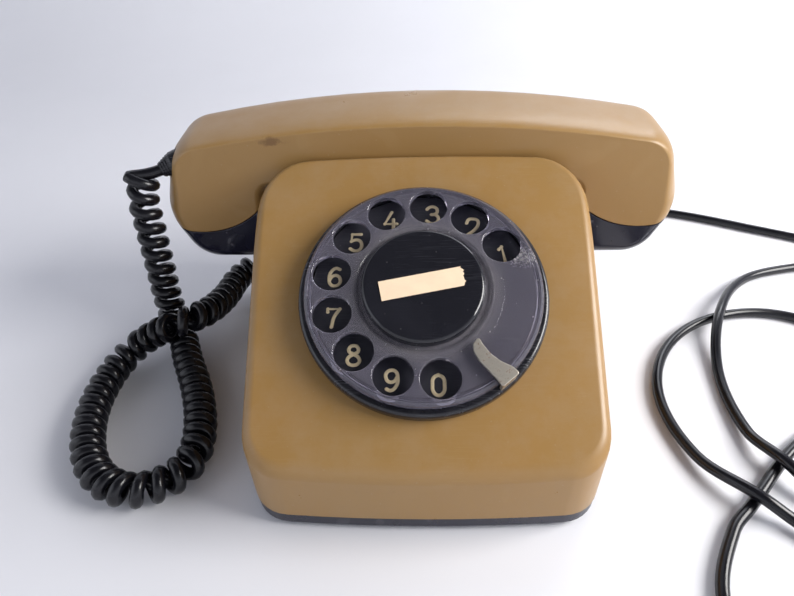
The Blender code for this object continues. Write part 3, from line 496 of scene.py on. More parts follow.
def noise_node(tree, vector, scale, detail=3.0, rough=0.55, distortion=0.0):
    return node(tree, "ShaderNodeTexNoise", {"Vector": vector, "Scale": scale, "Detail": detail,
                                             "Roughness": rough, "Distortion": distortion})


def mixed(tree, share, first, second, blend="MIX"):
    made = node(tree, "ShaderNodeMix", data_type="RGBA", blend_type=blend)
    for index, value in ((0, share), (6, first), (7, second)):
        if isinstance(value, bpy.types.NodeSocket):
            tree.links.new(value, made.inputs[index])
        else:
            made.inputs[index].default_value = value
    return made.outputs[2]


VECTOR = ("Vector", "NodeSocketVector", None)


def scratches_group():
    """Fine straight scratches in three directions."""
    tree, given, result = new_group(
        "Fine scratches", [VECTOR, ("Scale", "NodeSocketFloat", 120.0),
                           ("Amount", "NodeSocketFloat", 0.5)], [("Mask", "NodeSocketFloat")])
    total = None
    for turn, long, seed in (((0.3, 0.2, 0.5), 34.0, 0.0), ((1.1, -0.4, 1.9), 26.0, 3.1),
                             ((-0.6, 0.9, -0.7), 44.0, 7.7)):
        turned = node(tree, "ShaderNodeMapping", {"Vector": given.outputs[0], "Rotation": turn,
                                                  "Location": (seed, seed, 0),
                                                  "Scale": (1.0, long, 1.0)}).outputs[0]
        lines = noise_node(tree, turned, given.outputs[1], 1.0, 0.3, 0.15).outputs[0]
        sharp = banded(tree, lines, 0.66, 0.70)
        total = sharp if total is None else math_node(tree, "MAXIMUM", total, sharp)
    patches = noise_node(tree, given.outputs[0], 45.0, 2.0).outputs[0]
    total = math_node(tree, "MULTIPLY", total, banded(tree, patches, 0.42, 0.62))
    tree.links.new(math_node(tree, "MULTIPLY", total, given.outputs[2], True), result.inputs[0])
    return tree


def mottle_group():
    """Slow colour drift of an old moulding, with a darker and a yellower tone."""
    tree, given, result = new_group(
        "Aged colour", [VECTOR, ("Colour", "NodeSocketColor", (0.4, 0.3, 0.1, 1)),
                        ("Warm", "NodeSocketColor", (0.5, 0.3, 0.1, 1)),
                        ("Grime", "NodeSocketColor", (0.1, 0.06, 0.03, 1)),
                        ("Amount", "NodeSocketFloat", 1.0)], [("Colour", "NodeSocketColor")])
    slow = noise_node(tree, given.outputs[0], 14.0, 4.0).outputs[0]
    warm = math_node(tree, "MULTIPLY", banded(tree, slow, 0.35, 0.7), given.outputs[4], True)
    tone = mixed(tree, warm, given.outputs[1], given.outputs[2])
    fine = noise_node(tree, given.outputs[0], 260.0, 6.0, 0.65).outputs[0]
    spots = banded(tree, fine, 0.63, 0.76, 0.0, 0.20)
    grimy = math_node(tree, "MULTIPLY", spots, given.outputs[4], True)
    tree.links.new(mixed(tree, grimy, tone, given.outputs[3]), result.inputs[0])
    return tree


def stain_and_shade_group():
    """A ragged patch in an ellipsoid round a centre, used for stains, scuffs and one painted shade.
    """
    tree, given, result = new_group(
        "Stain", [VECTOR, ("Centre", "NodeSocketVector", (0, 0, 0)),
                  ("Reach", "NodeSocketVector", (0.01, 0.01, 0.01)),
                  ("Ragged", "NodeSocketFloat", 500.0)], [("Mask", "NodeSocketFloat")])
    offset = node(tree, "ShaderNodeVectorMath", {0: given.outputs[0], 1: given.outputs[1]},
                  operation="SUBTRACT").outputs[0]
    scaled = node(tree, "ShaderNodeVectorMath", {0: offset, 1: given.outputs[2]},
                  operation="DIVIDE").outputs[0]
    far = node(tree, "ShaderNodeVectorMath", {0: scaled}, operation="LENGTH").outputs["Value"]
    ragged = noise_node(tree, given.outputs[0], given.outputs[3], 5.0, 0.7).outputs[0]
    edge = math_node(tree, "ADD", far, math_node(tree, "MULTIPLY", ragged, 1.5))
    tree.links.new(banded(tree, edge, 1.55, 1.15), result.inputs[0])
    return tree


def dust_group():
    """Fine dust on what faces up, thicker in patches, with single specks."""
    tree, given, result = new_group(
        "Dust", [VECTOR, ("Amount", "NodeSocketFloat", 0.5),
                 ("Specks", "NodeSocketFloat", 0.5)], [("Mask", "NodeSocketFloat")])
    normal = node(tree, "ShaderNodeNewGeometry").outputs["Normal"]
    up = node(tree, "ShaderNodeSeparateXYZ", {0: normal}).outputs[2]
    facing = banded(tree, up, 0.1, 0.95)
    film = banded(tree, noise_node(tree, given.outputs[0], 60.0, 6.0, 0.7).outputs[0], 0.42, 0.78)
    film = math_node(tree, "MULTIPLY", math_node(tree, "MULTIPLY", film, facing),
                     given.outputs[1])
    cells = node(tree, "ShaderNodeTexVoronoi", {"Vector": given.outputs[0], "Scale": 420.0,
                                                "Randomness": 1.0})
    dots = banded(tree, cells.outputs["Distance"], 0.16, 0.05)
    chosen = banded(tree, node(tree, "ShaderNodeSeparateColor",
                               {0: cells.outputs["Color"]}).outputs[0], 0.80, 0.83)
    dots = math_node(tree, "MULTIPLY", math_node(tree, "MULTIPLY", dots, chosen),
                     given.outputs[2])
    tree.links.new(math_node(tree, "MAXIMUM", film, dots, True), result.inputs[0])
    return tree


def effects():
    """The shared node groups, built once."""
    makers = {"Fine scratches": scratches_group, "Aged colour": mottle_group,
              "Stain": stain_and_shade_group, "Dust": dust_group}
    return {name: bpy.data.node_groups.get(name) or make() for name, make in makers.items()}


def use(tree, name, inputs):
    made = tree.nodes.new("ShaderNodeGroup")
    made.node_tree = effects()[name]
    for key, value in inputs.items():
        if isinstance(value, bpy.types.NodeSocket):
            tree.links.new(value, made.inputs[key])
        else:
            made.inputs[key].default_value = value
    return made.outputs[0]


def started(name, **constants):
    """A new material with its shader's constant sockets set; returns it, its tree and shader."""
    found = bpy.data.materials.new(name)
    found.use_nodes = True
    tree = found.node_tree
    shader = tree.nodes["Principled BSDF"]
    for key, value in constants.items():
        shader.inputs[key.replace("_", " ")].default_value = value
    place = node(tree, "ShaderNodeTexCoord").outputs["Object"]
    return found, tree, shader, place


def bumped(tree, shader, height, strength, distance):
    bump = node(tree, "ShaderNodeBump", {"Height": height, "Strength": strength,
                                         "Distance": distance})
    tree.links.new(bump.outputs[0], shader.inputs["Normal"])


def rgba(colour, factor=1.0):
    return (*(min(value * factor, 1.0) for value in colour), 1.0)


# ------------------------------------------------------------------ materials

def khaki_moulding(name, stains_and_shade):
    """Satin khaki plastic, yellowed and scratched, darkened in given patches: real stains, and on
    the housing one painted shade under the handset.
    """
    finish = bpy.context.scene.telephone_finish
    made, tree, shader, place = started(name, IOR=1.5, Specular_IOR_Level=0.45)
    colour = use(tree, "Aged colour", {
        "Vector": place, "Colour": rgba(finish.moulding),
        "Warm": rgba((finish.moulding[0] * 1.04, finish.moulding[1] * 0.97,
                      finish.moulding[2] * 0.84)),
        "Grime": rgba((0.20, 0.11, 0.045)), "Amount": 0.9 * finish.wear})
    # Each given patch darkens the colour towards its tint: real stains, and on the housing also a
    # painted shade under the handset.
    for centre, reach, tint, strength, ragged in stains_and_shade:
        mask = use(tree, "Stain", {"Vector": place, "Centre": centre, "Reach": reach,
                                   "Ragged": ragged})
        mask = math_node(tree, "MULTIPLY", mask, strength * finish.wear, True)
        colour = mixed(tree, mask, colour, tint)
    marks = use(tree, "Fine scratches", {"Vector": place, "Scale": 70.0,
                                         "Amount": 0.20 * finish.wear})
    colour = mixed(tree, math_node(tree, "MULTIPLY", marks, 0.3), colour,
                   rgba((0.50, 0.36, 0.18)))
    dust = use(tree, "Dust", {"Vector": place, "Amount": 0.10 * finish.dust,
                              "Specks": 0.10 * finish.dust})
    colour = mixed(tree, dust, colour, rgba((0.55, 0.52, 0.48)))
    tree.links.new(colour, shader.inputs["Base Color"])
    patchy = noise_node(tree, place, 38.0, 5.0, 0.6).outputs[0]
    rough = banded(tree, patchy, 0.3, 0.75, 0.27, 0.40)
    rough = math_node(tree, "ADD", rough, math_node(tree, "MULTIPLY", marks, 0.25), True)
    tree.links.new(rough, shader.inputs["Roughness"])
    orange_peel = noise_node(tree, place, 900.0, 2.0).outputs[0]
    height = math_node(tree, "SUBTRACT", orange_peel, math_node(tree, "MULTIPLY", marks, 1.6))
    bumped(tree, shader, height, 0.10, 0.05 * MM)
    return made


def black_moulding(name, dust=0.35, specks=0.5, rough=(0.12, 0.26), scratch=0.5, blue=1.0):
    """Glossy black plastic with dust, specks and hairline scratches."""
    finish = bpy.context.scene.telephone_finish
    made, tree, shader, place = started(name, IOR=1.5)
    drift = noise_node(tree, place, 30.0, 3.0).outputs[0]
    base = rgba((finish.black[0], finish.black[1], finish.black[2] * blue))
    colour = mixed(tree, banded(tree, drift, 0.3, 0.8), base, rgba(base[:3], 1.9))
    marks = use(tree, "Fine scratches", {"Vector": place, "Scale": 110.0,
                                         "Amount": scratch * finish.wear})
    colour = mixed(tree, math_node(tree, "MULTIPLY", marks, 0.35), colour,
                   rgba((0.25, 0.25, 0.28)))
    film = use(tree, "Dust", {"Vector": place, "Amount": dust * finish.dust,
                              "Specks": specks * finish.dust})
    colour = mixed(tree, math_node(tree, "MULTIPLY", film, 0.30), colour,
                   rgba((0.42, 0.40, 0.40)))
    tree.links.new(colour, shader.inputs["Base Color"])
    patchy = noise_node(tree, place, 90.0, 4.0, 0.6).outputs[0]
    spread = banded(tree, patchy, 0.3, 0.8, rough[0], rough[1])
    spread = math_node(tree, "ADD", spread, math_node(tree, "MULTIPLY", marks, 0.3), True)
    spread = math_node(tree, "ADD", spread, math_node(tree, "MULTIPLY", film, 0.35), True)
    tree.links.new(spread, shader.inputs["Roughness"])
    bumped(tree, shader, math_node(tree, "SUBTRACT", patchy, marks), 0.08, 0.04 * MM)
    return made


def clear_moulding():
    """Clear wheel, hazed by milky wear near its rings and one scuffed patch."""
    finish = bpy.context.scene.telephone_finish
    made, tree, shader, place = started("clear_wheel", IOR=1.47, Transmission_Weight=0.80,
                                        Specular_IOR_Level=0.5)
    centred = node(tree, "ShaderNodeMapping",
                   {"Vector": place, "Location": -(on_face().inverted().to_3x3() @ DIAL_CENTRE),
                    "Rotation": (-FACE_SLOPE, 0, 0)}).outputs[0]
    parts = node(tree, "ShaderNodeSeparateXYZ", {0: centred})
    flat = node(tree, "ShaderNodeCombineXYZ", {0: parts.outputs[0], 1: parts.outputs[1]})
    radius = node(tree, "ShaderNodeVectorMath", {0: flat.outputs[0]},
                  operation="LENGTH").outputs["Value"]
    cloudy = noise_node(tree, place, 130.0, 7.0, 0.72).outputs[0]
    near_ring = banded(tree, radius, 29.5 * MM, 22.5 * MM)
    haze = math_node(tree, "MULTIPLY", near_ring, banded(tree, cloudy, 0.28, 0.68, 0.2, 1.0))
    scuffs = use(tree, "Stain", {"Vector": place, "Centre": (34 * MM, -19.5 * MM, 69 * MM),
                                 "Reach": (9 * MM, 4.5 * MM, 9 * MM), "Ragged": 900.0})
    scuffs = math_node(tree, "MULTIPLY", scuffs, banded(tree, noise_node(
        tree, place, 1400.0, 3.0).outputs[0], 0.42, 0.62))
    marks = use(tree, "Fine scratches", {"Vector": place, "Scale": 90.0,
                                         "Amount": 0.9 * finish.wear})
    specks = use(tree, "Dust", {"Vector": place, "Amount": 0.15 * finish.dust,
                                "Specks": 0.9 * finish.dust})
    worn = math_node(tree, "MAXIMUM", math_node(tree, "MULTIPLY", haze, 0.42),
                     math_node(tree, "MULTIPLY", scuffs, 0.9))
    worn = math_node(tree, "MAXIMUM", worn, math_node(tree, "MULTIPLY", marks, 0.22))
    worn = math_node(tree, "MAXIMUM", worn, math_node(tree, "MULTIPLY", specks, 0.8), True)
    colour = mixed(tree, worn, rgba((0.34, 0.32, 0.40)), rgba((0.95, 0.90, 0.88)))
    tree.links.new(colour, shader.inputs["Base Color"])
    tree.links.new(banded(tree, worn, 0.0, 1.0, 0.05, 0.55), shader.inputs["Roughness"])
    height = math_node(tree, "ADD", math_node(tree, "MULTIPLY", marks, -1.0),
                       math_node(tree, "MULTIPLY", cloudy, 0.3))
    bumped(tree, shader, height, 0.12, 0.05 * MM)
    return made


def cord_sheath(name, rough):
    """Glossy black cord sheath with lint and handling dirt."""
    finish = bpy.context.scene.telephone_finish
    made, tree, shader, place = started(name, IOR=1.5, Specular_IOR_Level=0.4)
    drift = noise_node(tree, place, 55.0, 4.0, 0.6).outputs[0]
    colour = mixed(tree, banded(tree, drift, 0.35, 0.75), rgba(finish.sheath),
                   rgba(finish.sheath, 1.8))
    film = use(tree, "Dust", {"Vector": place, "Amount": 0.10 * finish.dust,
                              "Specks": 0.25 * finish.dust})
    colour = mixed(tree, math_node(tree, "MULTIPLY", film, 0.2), colour, rgba((0.35, 0.33, 0.36)))
    tree.links.new(colour, shader.inputs["Base Color"])
    tree.links.new(banded(tree, drift, 0.3, 0.8, rough, rough + 0.12), shader.inputs["Roughness"])
    fine = noise_node(tree, place, 1500.0, 2.0).outputs[0]
    bumped(tree, shader, fine, 0.06, 0.03 * MM)
    return made


def worn_metal(name, colour, rust, metallic=1.0, rough=(0.3, 0.5)):
    """Dull metal with brushed streaks, tarnish and rust freckles."""
    finish = bpy.context.scene.telephone_finish
    made, tree, shader, place = started(name, Metallic=metallic)
    cloud = noise_node(tree, place, 180.0, 6.0, 0.68).outputs[0]
    tone = mixed(tree, banded(tree, cloud, 0.35, 0.7), rgba(colour), rgba(colour, 0.62))
    freckles = noise_node(tree, place, 620.0, 6.0, 0.75).outputs[0]
    rusty = banded(tree, freckles, 0.66 - 0.12 * rust, 0.72 - 0.08 * rust)
    rusty = math_node(tree, "MULTIPLY", rusty, min(rust * finish.wear, 1.0), True)
    tone = mixed(tree, rusty, tone, rgba((0.16, 0.055, 0.022)))
    tree.links.new(tone, shader.inputs["Base Color"])
    spread = banded(tree, cloud, 0.3, 0.75, rough[0], rough[1])
    tree.links.new(math_node(tree, "ADD", spread, math_node(tree, "MULTIPLY", rusty, 0.4), True),
                   shader.inputs["Roughness"])
    streaks = node(tree, "ShaderNodeMapping", {"Vector": place,
                                               "Scale": (1.0, 1.0, 30.0)}).outputs[0]
    brushed = noise_node(tree, streaks, 260.0, 3.0).outputs[0]
    bumped(tree, shader, math_node(tree, "ADD", brushed, math_node(tree, "MULTIPLY", rusty, 1.5)),
           0.12, 0.05 * MM)
    return made


def print_ink():
    """Cream ink of the digits, a little chipped."""
    finish = bpy.context.scene.telephone_finish
    made, tree, shader, place = started("digit_ink", Roughness=0.5)
    worn = noise_node(tree, place, 700.0, 5.0, 0.7).outputs[0]
    colour = mixed(tree, banded(tree, worn, 0.5, 0.72, 0.0, 0.55), rgba(finish.digit),
                   rgba(finish.digit, 0.62))
    tree.links.new(colour, shader.inputs["Base Color"])
    bumped(tree, shader, worn, 0.15, 0.04 * MM)
    return made


def card_paper():
    """Aged card with grey marks and a rubbed surface."""
    finish = bpy.context.scene.telephone_finish
    made, tree, shader, place = started("card_paper", Roughness=0.82)
    cloud = noise_node(tree, place, 160.0, 5.0, 0.6).outputs[0]
    colour = mixed(tree, banded(tree, cloud, 0.4, 0.75, 0.0, 0.35), rgba(finish.card),
                   rgba((0.78, 0.52, 0.36)))
    spots = noise_node(tree, place, 420.0, 4.0, 0.65).outputs[0]
    colour = mixed(tree, banded(tree, spots, 0.66, 0.78, 0.0, 0.5), colour,
                   rgba((0.42, 0.30, 0.24)))
    tree.links.new(colour, shader.inputs["Base Color"])
    fibre = noise_node(tree, place, 2200.0, 3.0).outputs[0]
    bumped(tree, shader, fibre, 0.25, 0.05 * MM)
    return made


def plain_plastic(name, colour, rough=0.45):
    """Matt moulded part with a fine grain and a little drift in its colour."""
    made, tree, shader, place = started(name, IOR=1.5)
    cloud = noise_node(tree, place, 90.0, 5.0, 0.6).outputs[0]
    tone = mixed(tree, banded(tree, cloud, 0.35, 0.75), rgba(colour), rgba(colour, 0.78))
    tree.links.new(tone, shader.inputs["Base Color"])
    tree.links.new(banded(tree, cloud, 0.3, 0.8, rough, rough + 0.15), shader.inputs["Roughness"])
    bumped(tree, shader, noise_node(tree, place, 1200.0, 3.0).outputs[0], 0.15, 0.05 * MM)
    return made


def board_laminate():
    """Brown laminate with copper tracks."""
    made, tree, shader, place = started("board_laminate", Roughness=0.5)
    grid = node(tree, "ShaderNodeTexBrick", {"Vector": place, "Scale": 90.0,
                                             "Mortar Size": 0.03, "Color1": rgba((1, 1, 1)),
                                             "Color2": rgba((0.9, 0.9, 0.9)),
                                             "Mortar": rgba((0, 0, 0))}).outputs[0]
    cloud = noise_node(tree, place, 200.0, 5.0, 0.6).outputs[0]
    tone = mixed(tree, banded(tree, cloud, 0.35, 0.75), rgba((0.33, 0.19, 0.07)),
                 rgba((0.24, 0.13, 0.05)))
    tree.links.new(mixed(tree, 0.3, tone, grid, "MULTIPLY"), shader.inputs["Base Color"])
    bumped(tree, shader, cloud, 0.15, 0.05 * MM)
    return made


def wound_copper():
    """Enamelled copper winding with fine turns."""
    made, tree, shader, place = started("wound_copper", Metallic=1.0, Roughness=0.35)
    turns = node(tree, "ShaderNodeTexWave", {"Vector": place, "Scale": 900.0,
                                             "Distortion": 0.4}, wave_type="BANDS",
                 bands_direction="Y").outputs[1]
    colour = mixed(tree, turns, rgba((0.30, 0.085, 0.03)), rgba((0.55, 0.20, 0.09)))
    tree.links.new(colour, shader.inputs["Base Color"])
    bumped(tree, shader, turns, 0.5, 0.1 * MM)
    return made


def slot_materials():
    """A finished material for each of the record's slots, made once."""
    made = bpy.context.scene.get("telephone_slots")
    if made:
        return {slot: bpy.data.materials[name] for slot, name in made.items()}
    found = {
        "tan_plastic": khaki_moulding("khaki", []),
        "black_plastic": black_moulding("black_gloss"),
        "clear_plastic": clear_moulding(),
        "cord_rubber": cord_sheath("cord_black", 0.24),
        "foot_rubber": plain_plastic("black_rubber", (0.016, 0.016, 0.017), 0.7),
        "plated_steel": worn_metal("plated_steel", (0.50, 0.49, 0.46), 0.15),
        "worn_steel": worn_metal("dull_steel", (0.34, 0.31, 0.28), 0.5),
        "brass": worn_metal("brass", (0.62, 0.43, 0.16), 0.1, rough=(0.25, 0.4)),
        "label_paper": card_paper(),
        "circuit_board": board_laminate(),
        "enamelled_copper": wound_copper(),
        "white_nylon": plain_plastic("white_nylon", (0.72, 0.70, 0.64), 0.4),
    }
    bpy.context.scene["telephone_slots"] = {slot: mat.name for slot, mat in found.items()}
    return found


# ------------------------------------------------------------------ stage

class TELEPHONE_OT_stage(Operator):
    """Add the floor, the light and the camera"""

    bl_idname = "telephone.stage"
    bl_label = "Stage"

    def execute(self, context):
        stage = context.scene.telephone_stage
        shape = bmesh.new()
        bmesh.ops.create_grid(shape, x_segments=1, y_segments=1, size=1.6)
        back = [edge for edge in shape.edges if all(v.co.y > 1.5 for v in edge.verts)]
        bmesh.ops.translate(shape, verts=back[0].verts, vec=(0, -0.95, 0))
        risen = bmesh.ops.extrude_edge_only(shape, edges=back)["geom"]
        bmesh.ops.translate(shape, vec=(0, 0.25, 1.6),
                            verts=[v for v in risen if isinstance(v, bmesh.types.BMVert)])
        bend = [edge for edge in shape.edges if edge.is_manifold]
        bevelled(shape, bend, 0.3, 16)
        floor = solid("floor", shape)
        floor.data.materials.append(self.floor_paint(stage))
        floor.data.shade_smooth()
        self.lamp("key", (0.55, -0.08, 0.40), (0.0, -0.01, 0.04), (0.40, 0.34), stage.key,
                  (1.0, 0.985, 0.96))
        self.lamp("back_strip", (0.20, 0.75, 0.55), (0.0, 0.0, 0.05), (0.9, 0.25),
                  stage.key * 0.7, (0.93, 0.96, 1.0))
        self.lamp("left_fill", (-0.65, -0.25, 0.45), (0.0, 0.0, 0.03), (0.5, 0.5),
                  stage.key * 0.10, (0.86, 0.90, 1.0))
        world = bpy.data.worlds.new("surround")
        world.use_nodes = True
        tree = world.node_tree
        tree.nodes["Background"].inputs[0].default_value = (0.88, 0.91, 1.0, 1)
        way = node(tree, "ShaderNodeTexCoord").outputs["Generated"]
        height = node(tree, "ShaderNodeSeparateXYZ", {0: way}).outputs[2]
        strength = banded(tree, height, 0.25, 0.82, stage.surround, 0.07 * stage.surround)
        tree.links.new(strength, tree.nodes["Background"].inputs[1])
        context.scene.world = world
        context.scene.view_settings.view_transform = "Standard"
        self.camera(context, stage)
        return {"FINISHED"}

    def floor_paint(self, stage):
        made, tree, shader, place = started("floor_paper", Roughness=0.6,
                                            Specular_IOR_Level=0.3)
        cloud = noise_node(tree, place, 5.0, 4.0).outputs[0]
        colour = mixed(tree, banded(tree, cloud, 0.35, 0.7), rgba(stage.floor),
                       rgba(stage.floor, 1.035))
        tree.links.new(colour, shader.inputs["Base Color"])
        bumped(tree, shader, noise_node(tree, place, 500.0, 3.0).outputs[0], 0.05, 0.1 * MM)
        return made

    def lamp(self, name, place, target, size, power, colour):
        data = bpy.data.lights.new(name, "AREA")
        data.shape = "RECTANGLE"
        data.size, data.size_y = size
        data.energy = power
        data.color = colour
        made = bpy.data.objects.new(name, data)
        made.location = place
        made.rotation_euler = (Vector(target) - Vector(place)).to_track_quat("-Z", "Y").to_euler()
        bpy.context.scene.collection.objects.link(made)

    def camera(self, context, stage):
        data = bpy.data.cameras.new("camera")
        data.sensor_width = 36
        data.lens = stage.lens
        data.clip_start = 0.01
        made = bpy.data.objects.new("camera", data)
        right = Vector((0.99934, 0.02093, -0.02963))
        up = Vector((0.00963, 0.63442, 0.77293))
        back = right.cross(up)
        turn = Matrix((right, up, back)).transposed().to_4x4()
        made.matrix_world = Matrix.Translation((-1.68 * MM, -186.07 * MM, 189.31 * MM)) @ turn
        context.scene.collection.objects.link(made)
        context.scene.camera = made


# ------------------------------------------------------------------ cords

def turning_frames(route):
    """Direction and a side vector that never twists, at each point of a route."""
    found = []
    side = Vector((0, 1, 0))
    for i in range(len(route)):
        along = heading(route, i)
        side = (side - along * side.dot(along)).normalized()
        found.append((along, side, along.cross(side)))
    return found


def curled(route, radius, wire):
    """Line of a wire that curls round a route, with turns that open on the bends."""
    frames = turning_frames(route)
    step = (route[1] - route[0]).length
    phase = math.radians(200)
    line = []
    for i, (point, (_, side, up)) in enumerate(zip(route, frames)):
        bend = 0.0
        for k in (3, 6):
            if k <= i < len(route) - k:
                bend = max(bend, frames[i - k][0].angle(frames[i + k][0]) / (2 * k * step))
        hanging = min(max((point.z - 14 * MM) / (26 * MM), 0.0), 1.0)
        if i > len(route) * 0.5:
            hanging = 0.0
        pitch = (wire * (1.05 + 0.30 * hanging)) / max(1 - bend * radius, 0.6)
        phase -= math.tau * step / pitch
        line.append(point + (side * math.cos(phase) + up * math.sin(phase)) * radius)
    return line


def tube_along(name, line, radius, resolution):
    """Mesh tube with closed ends along a line of points."""
    curve = bpy.data.curves.new(name, "CURVE")
    curve.dimensions = "3D"
    curve.bevel_depth = radius
    curve.bevel_resolution = resolution
    curve.use_fill_caps = True
    spline = curve.splines.new("POLY")
    spline.points.add(len(line) - 1)
    for knot, place in zip(spline.points, line):
        knot.co = (*place, 1.0)
    bent = bpy.data.objects.new(name, curve)
    bpy.context.scene.collection.objects.link(bent)
    bpy.context.view_layer.update()
    mesh = bpy.data.meshes.new_from_object(
        bent.evaluated_get(bpy.context.evaluated_depsgraph_get()))
    bpy.data.objects.remove(bent, do_unlink=True)
    shape = bmesh.new()
    shape.from_mesh(mesh)
    bpy.data.meshes.remove(mesh)
    return solid(name, shape)


class TELEPHONE_OT_curly_cord(Operator):
    """Add the curly cord between the body and the handset"""

    bl_idname = "telephone.curly_cord"
    bl_label = "Curly Cord"

    def execute(self, context):
        cords = context.scene.telephone_cords
        route = smooth_route(CURLY_ROUTE, 0.3 * MM)
        helix = curled(route, cords.coil_radius, cords.wire)
        tip = gland_line()[1]
        out = (gland_line()[1] - gland_line()[0]).normalized()
        lead = self.led(tip - out * 1.5 * MM, out, helix[0], heading(helix, 0), 11 * MM)
        end = BASE_GLAND + Vector((-6.5 * MM, 0, 0))
        tail = self.led(helix[-1], heading(helix, len(helix) - 1), end + Vector((1.5 * MM, 0, 0)),
                        Vector((1, 0, 0)), 6 * MM)
        line = spaced(lead[:-1] + helix + tail[1:], 1.55 * MM)
        made = tube_along("curly_cord_wire", line, cords.wire / 2, 3)
        made.data.materials.append(cord_sheath("curly_black", 0.2))
        made.data.shade_smooth()
        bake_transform(made)
        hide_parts("curly_cord")
        return {"FINISHED"}

    def led(self, start, out, end, into, pull):
        return interpolate_bezier(start, start + out * pull, end - into * pull, end, 60)


def gland_line():
    """Root and tip of the handset's strain relief."""
    shift = Vector((HAND_MID, 0, 0))
    return (Vector((-95 * MM, 37 * MM, 81 * MM)) + shift,
            Vector((-104.5 * MM, 33.4 * MM, 77.8 * MM)) + shift)


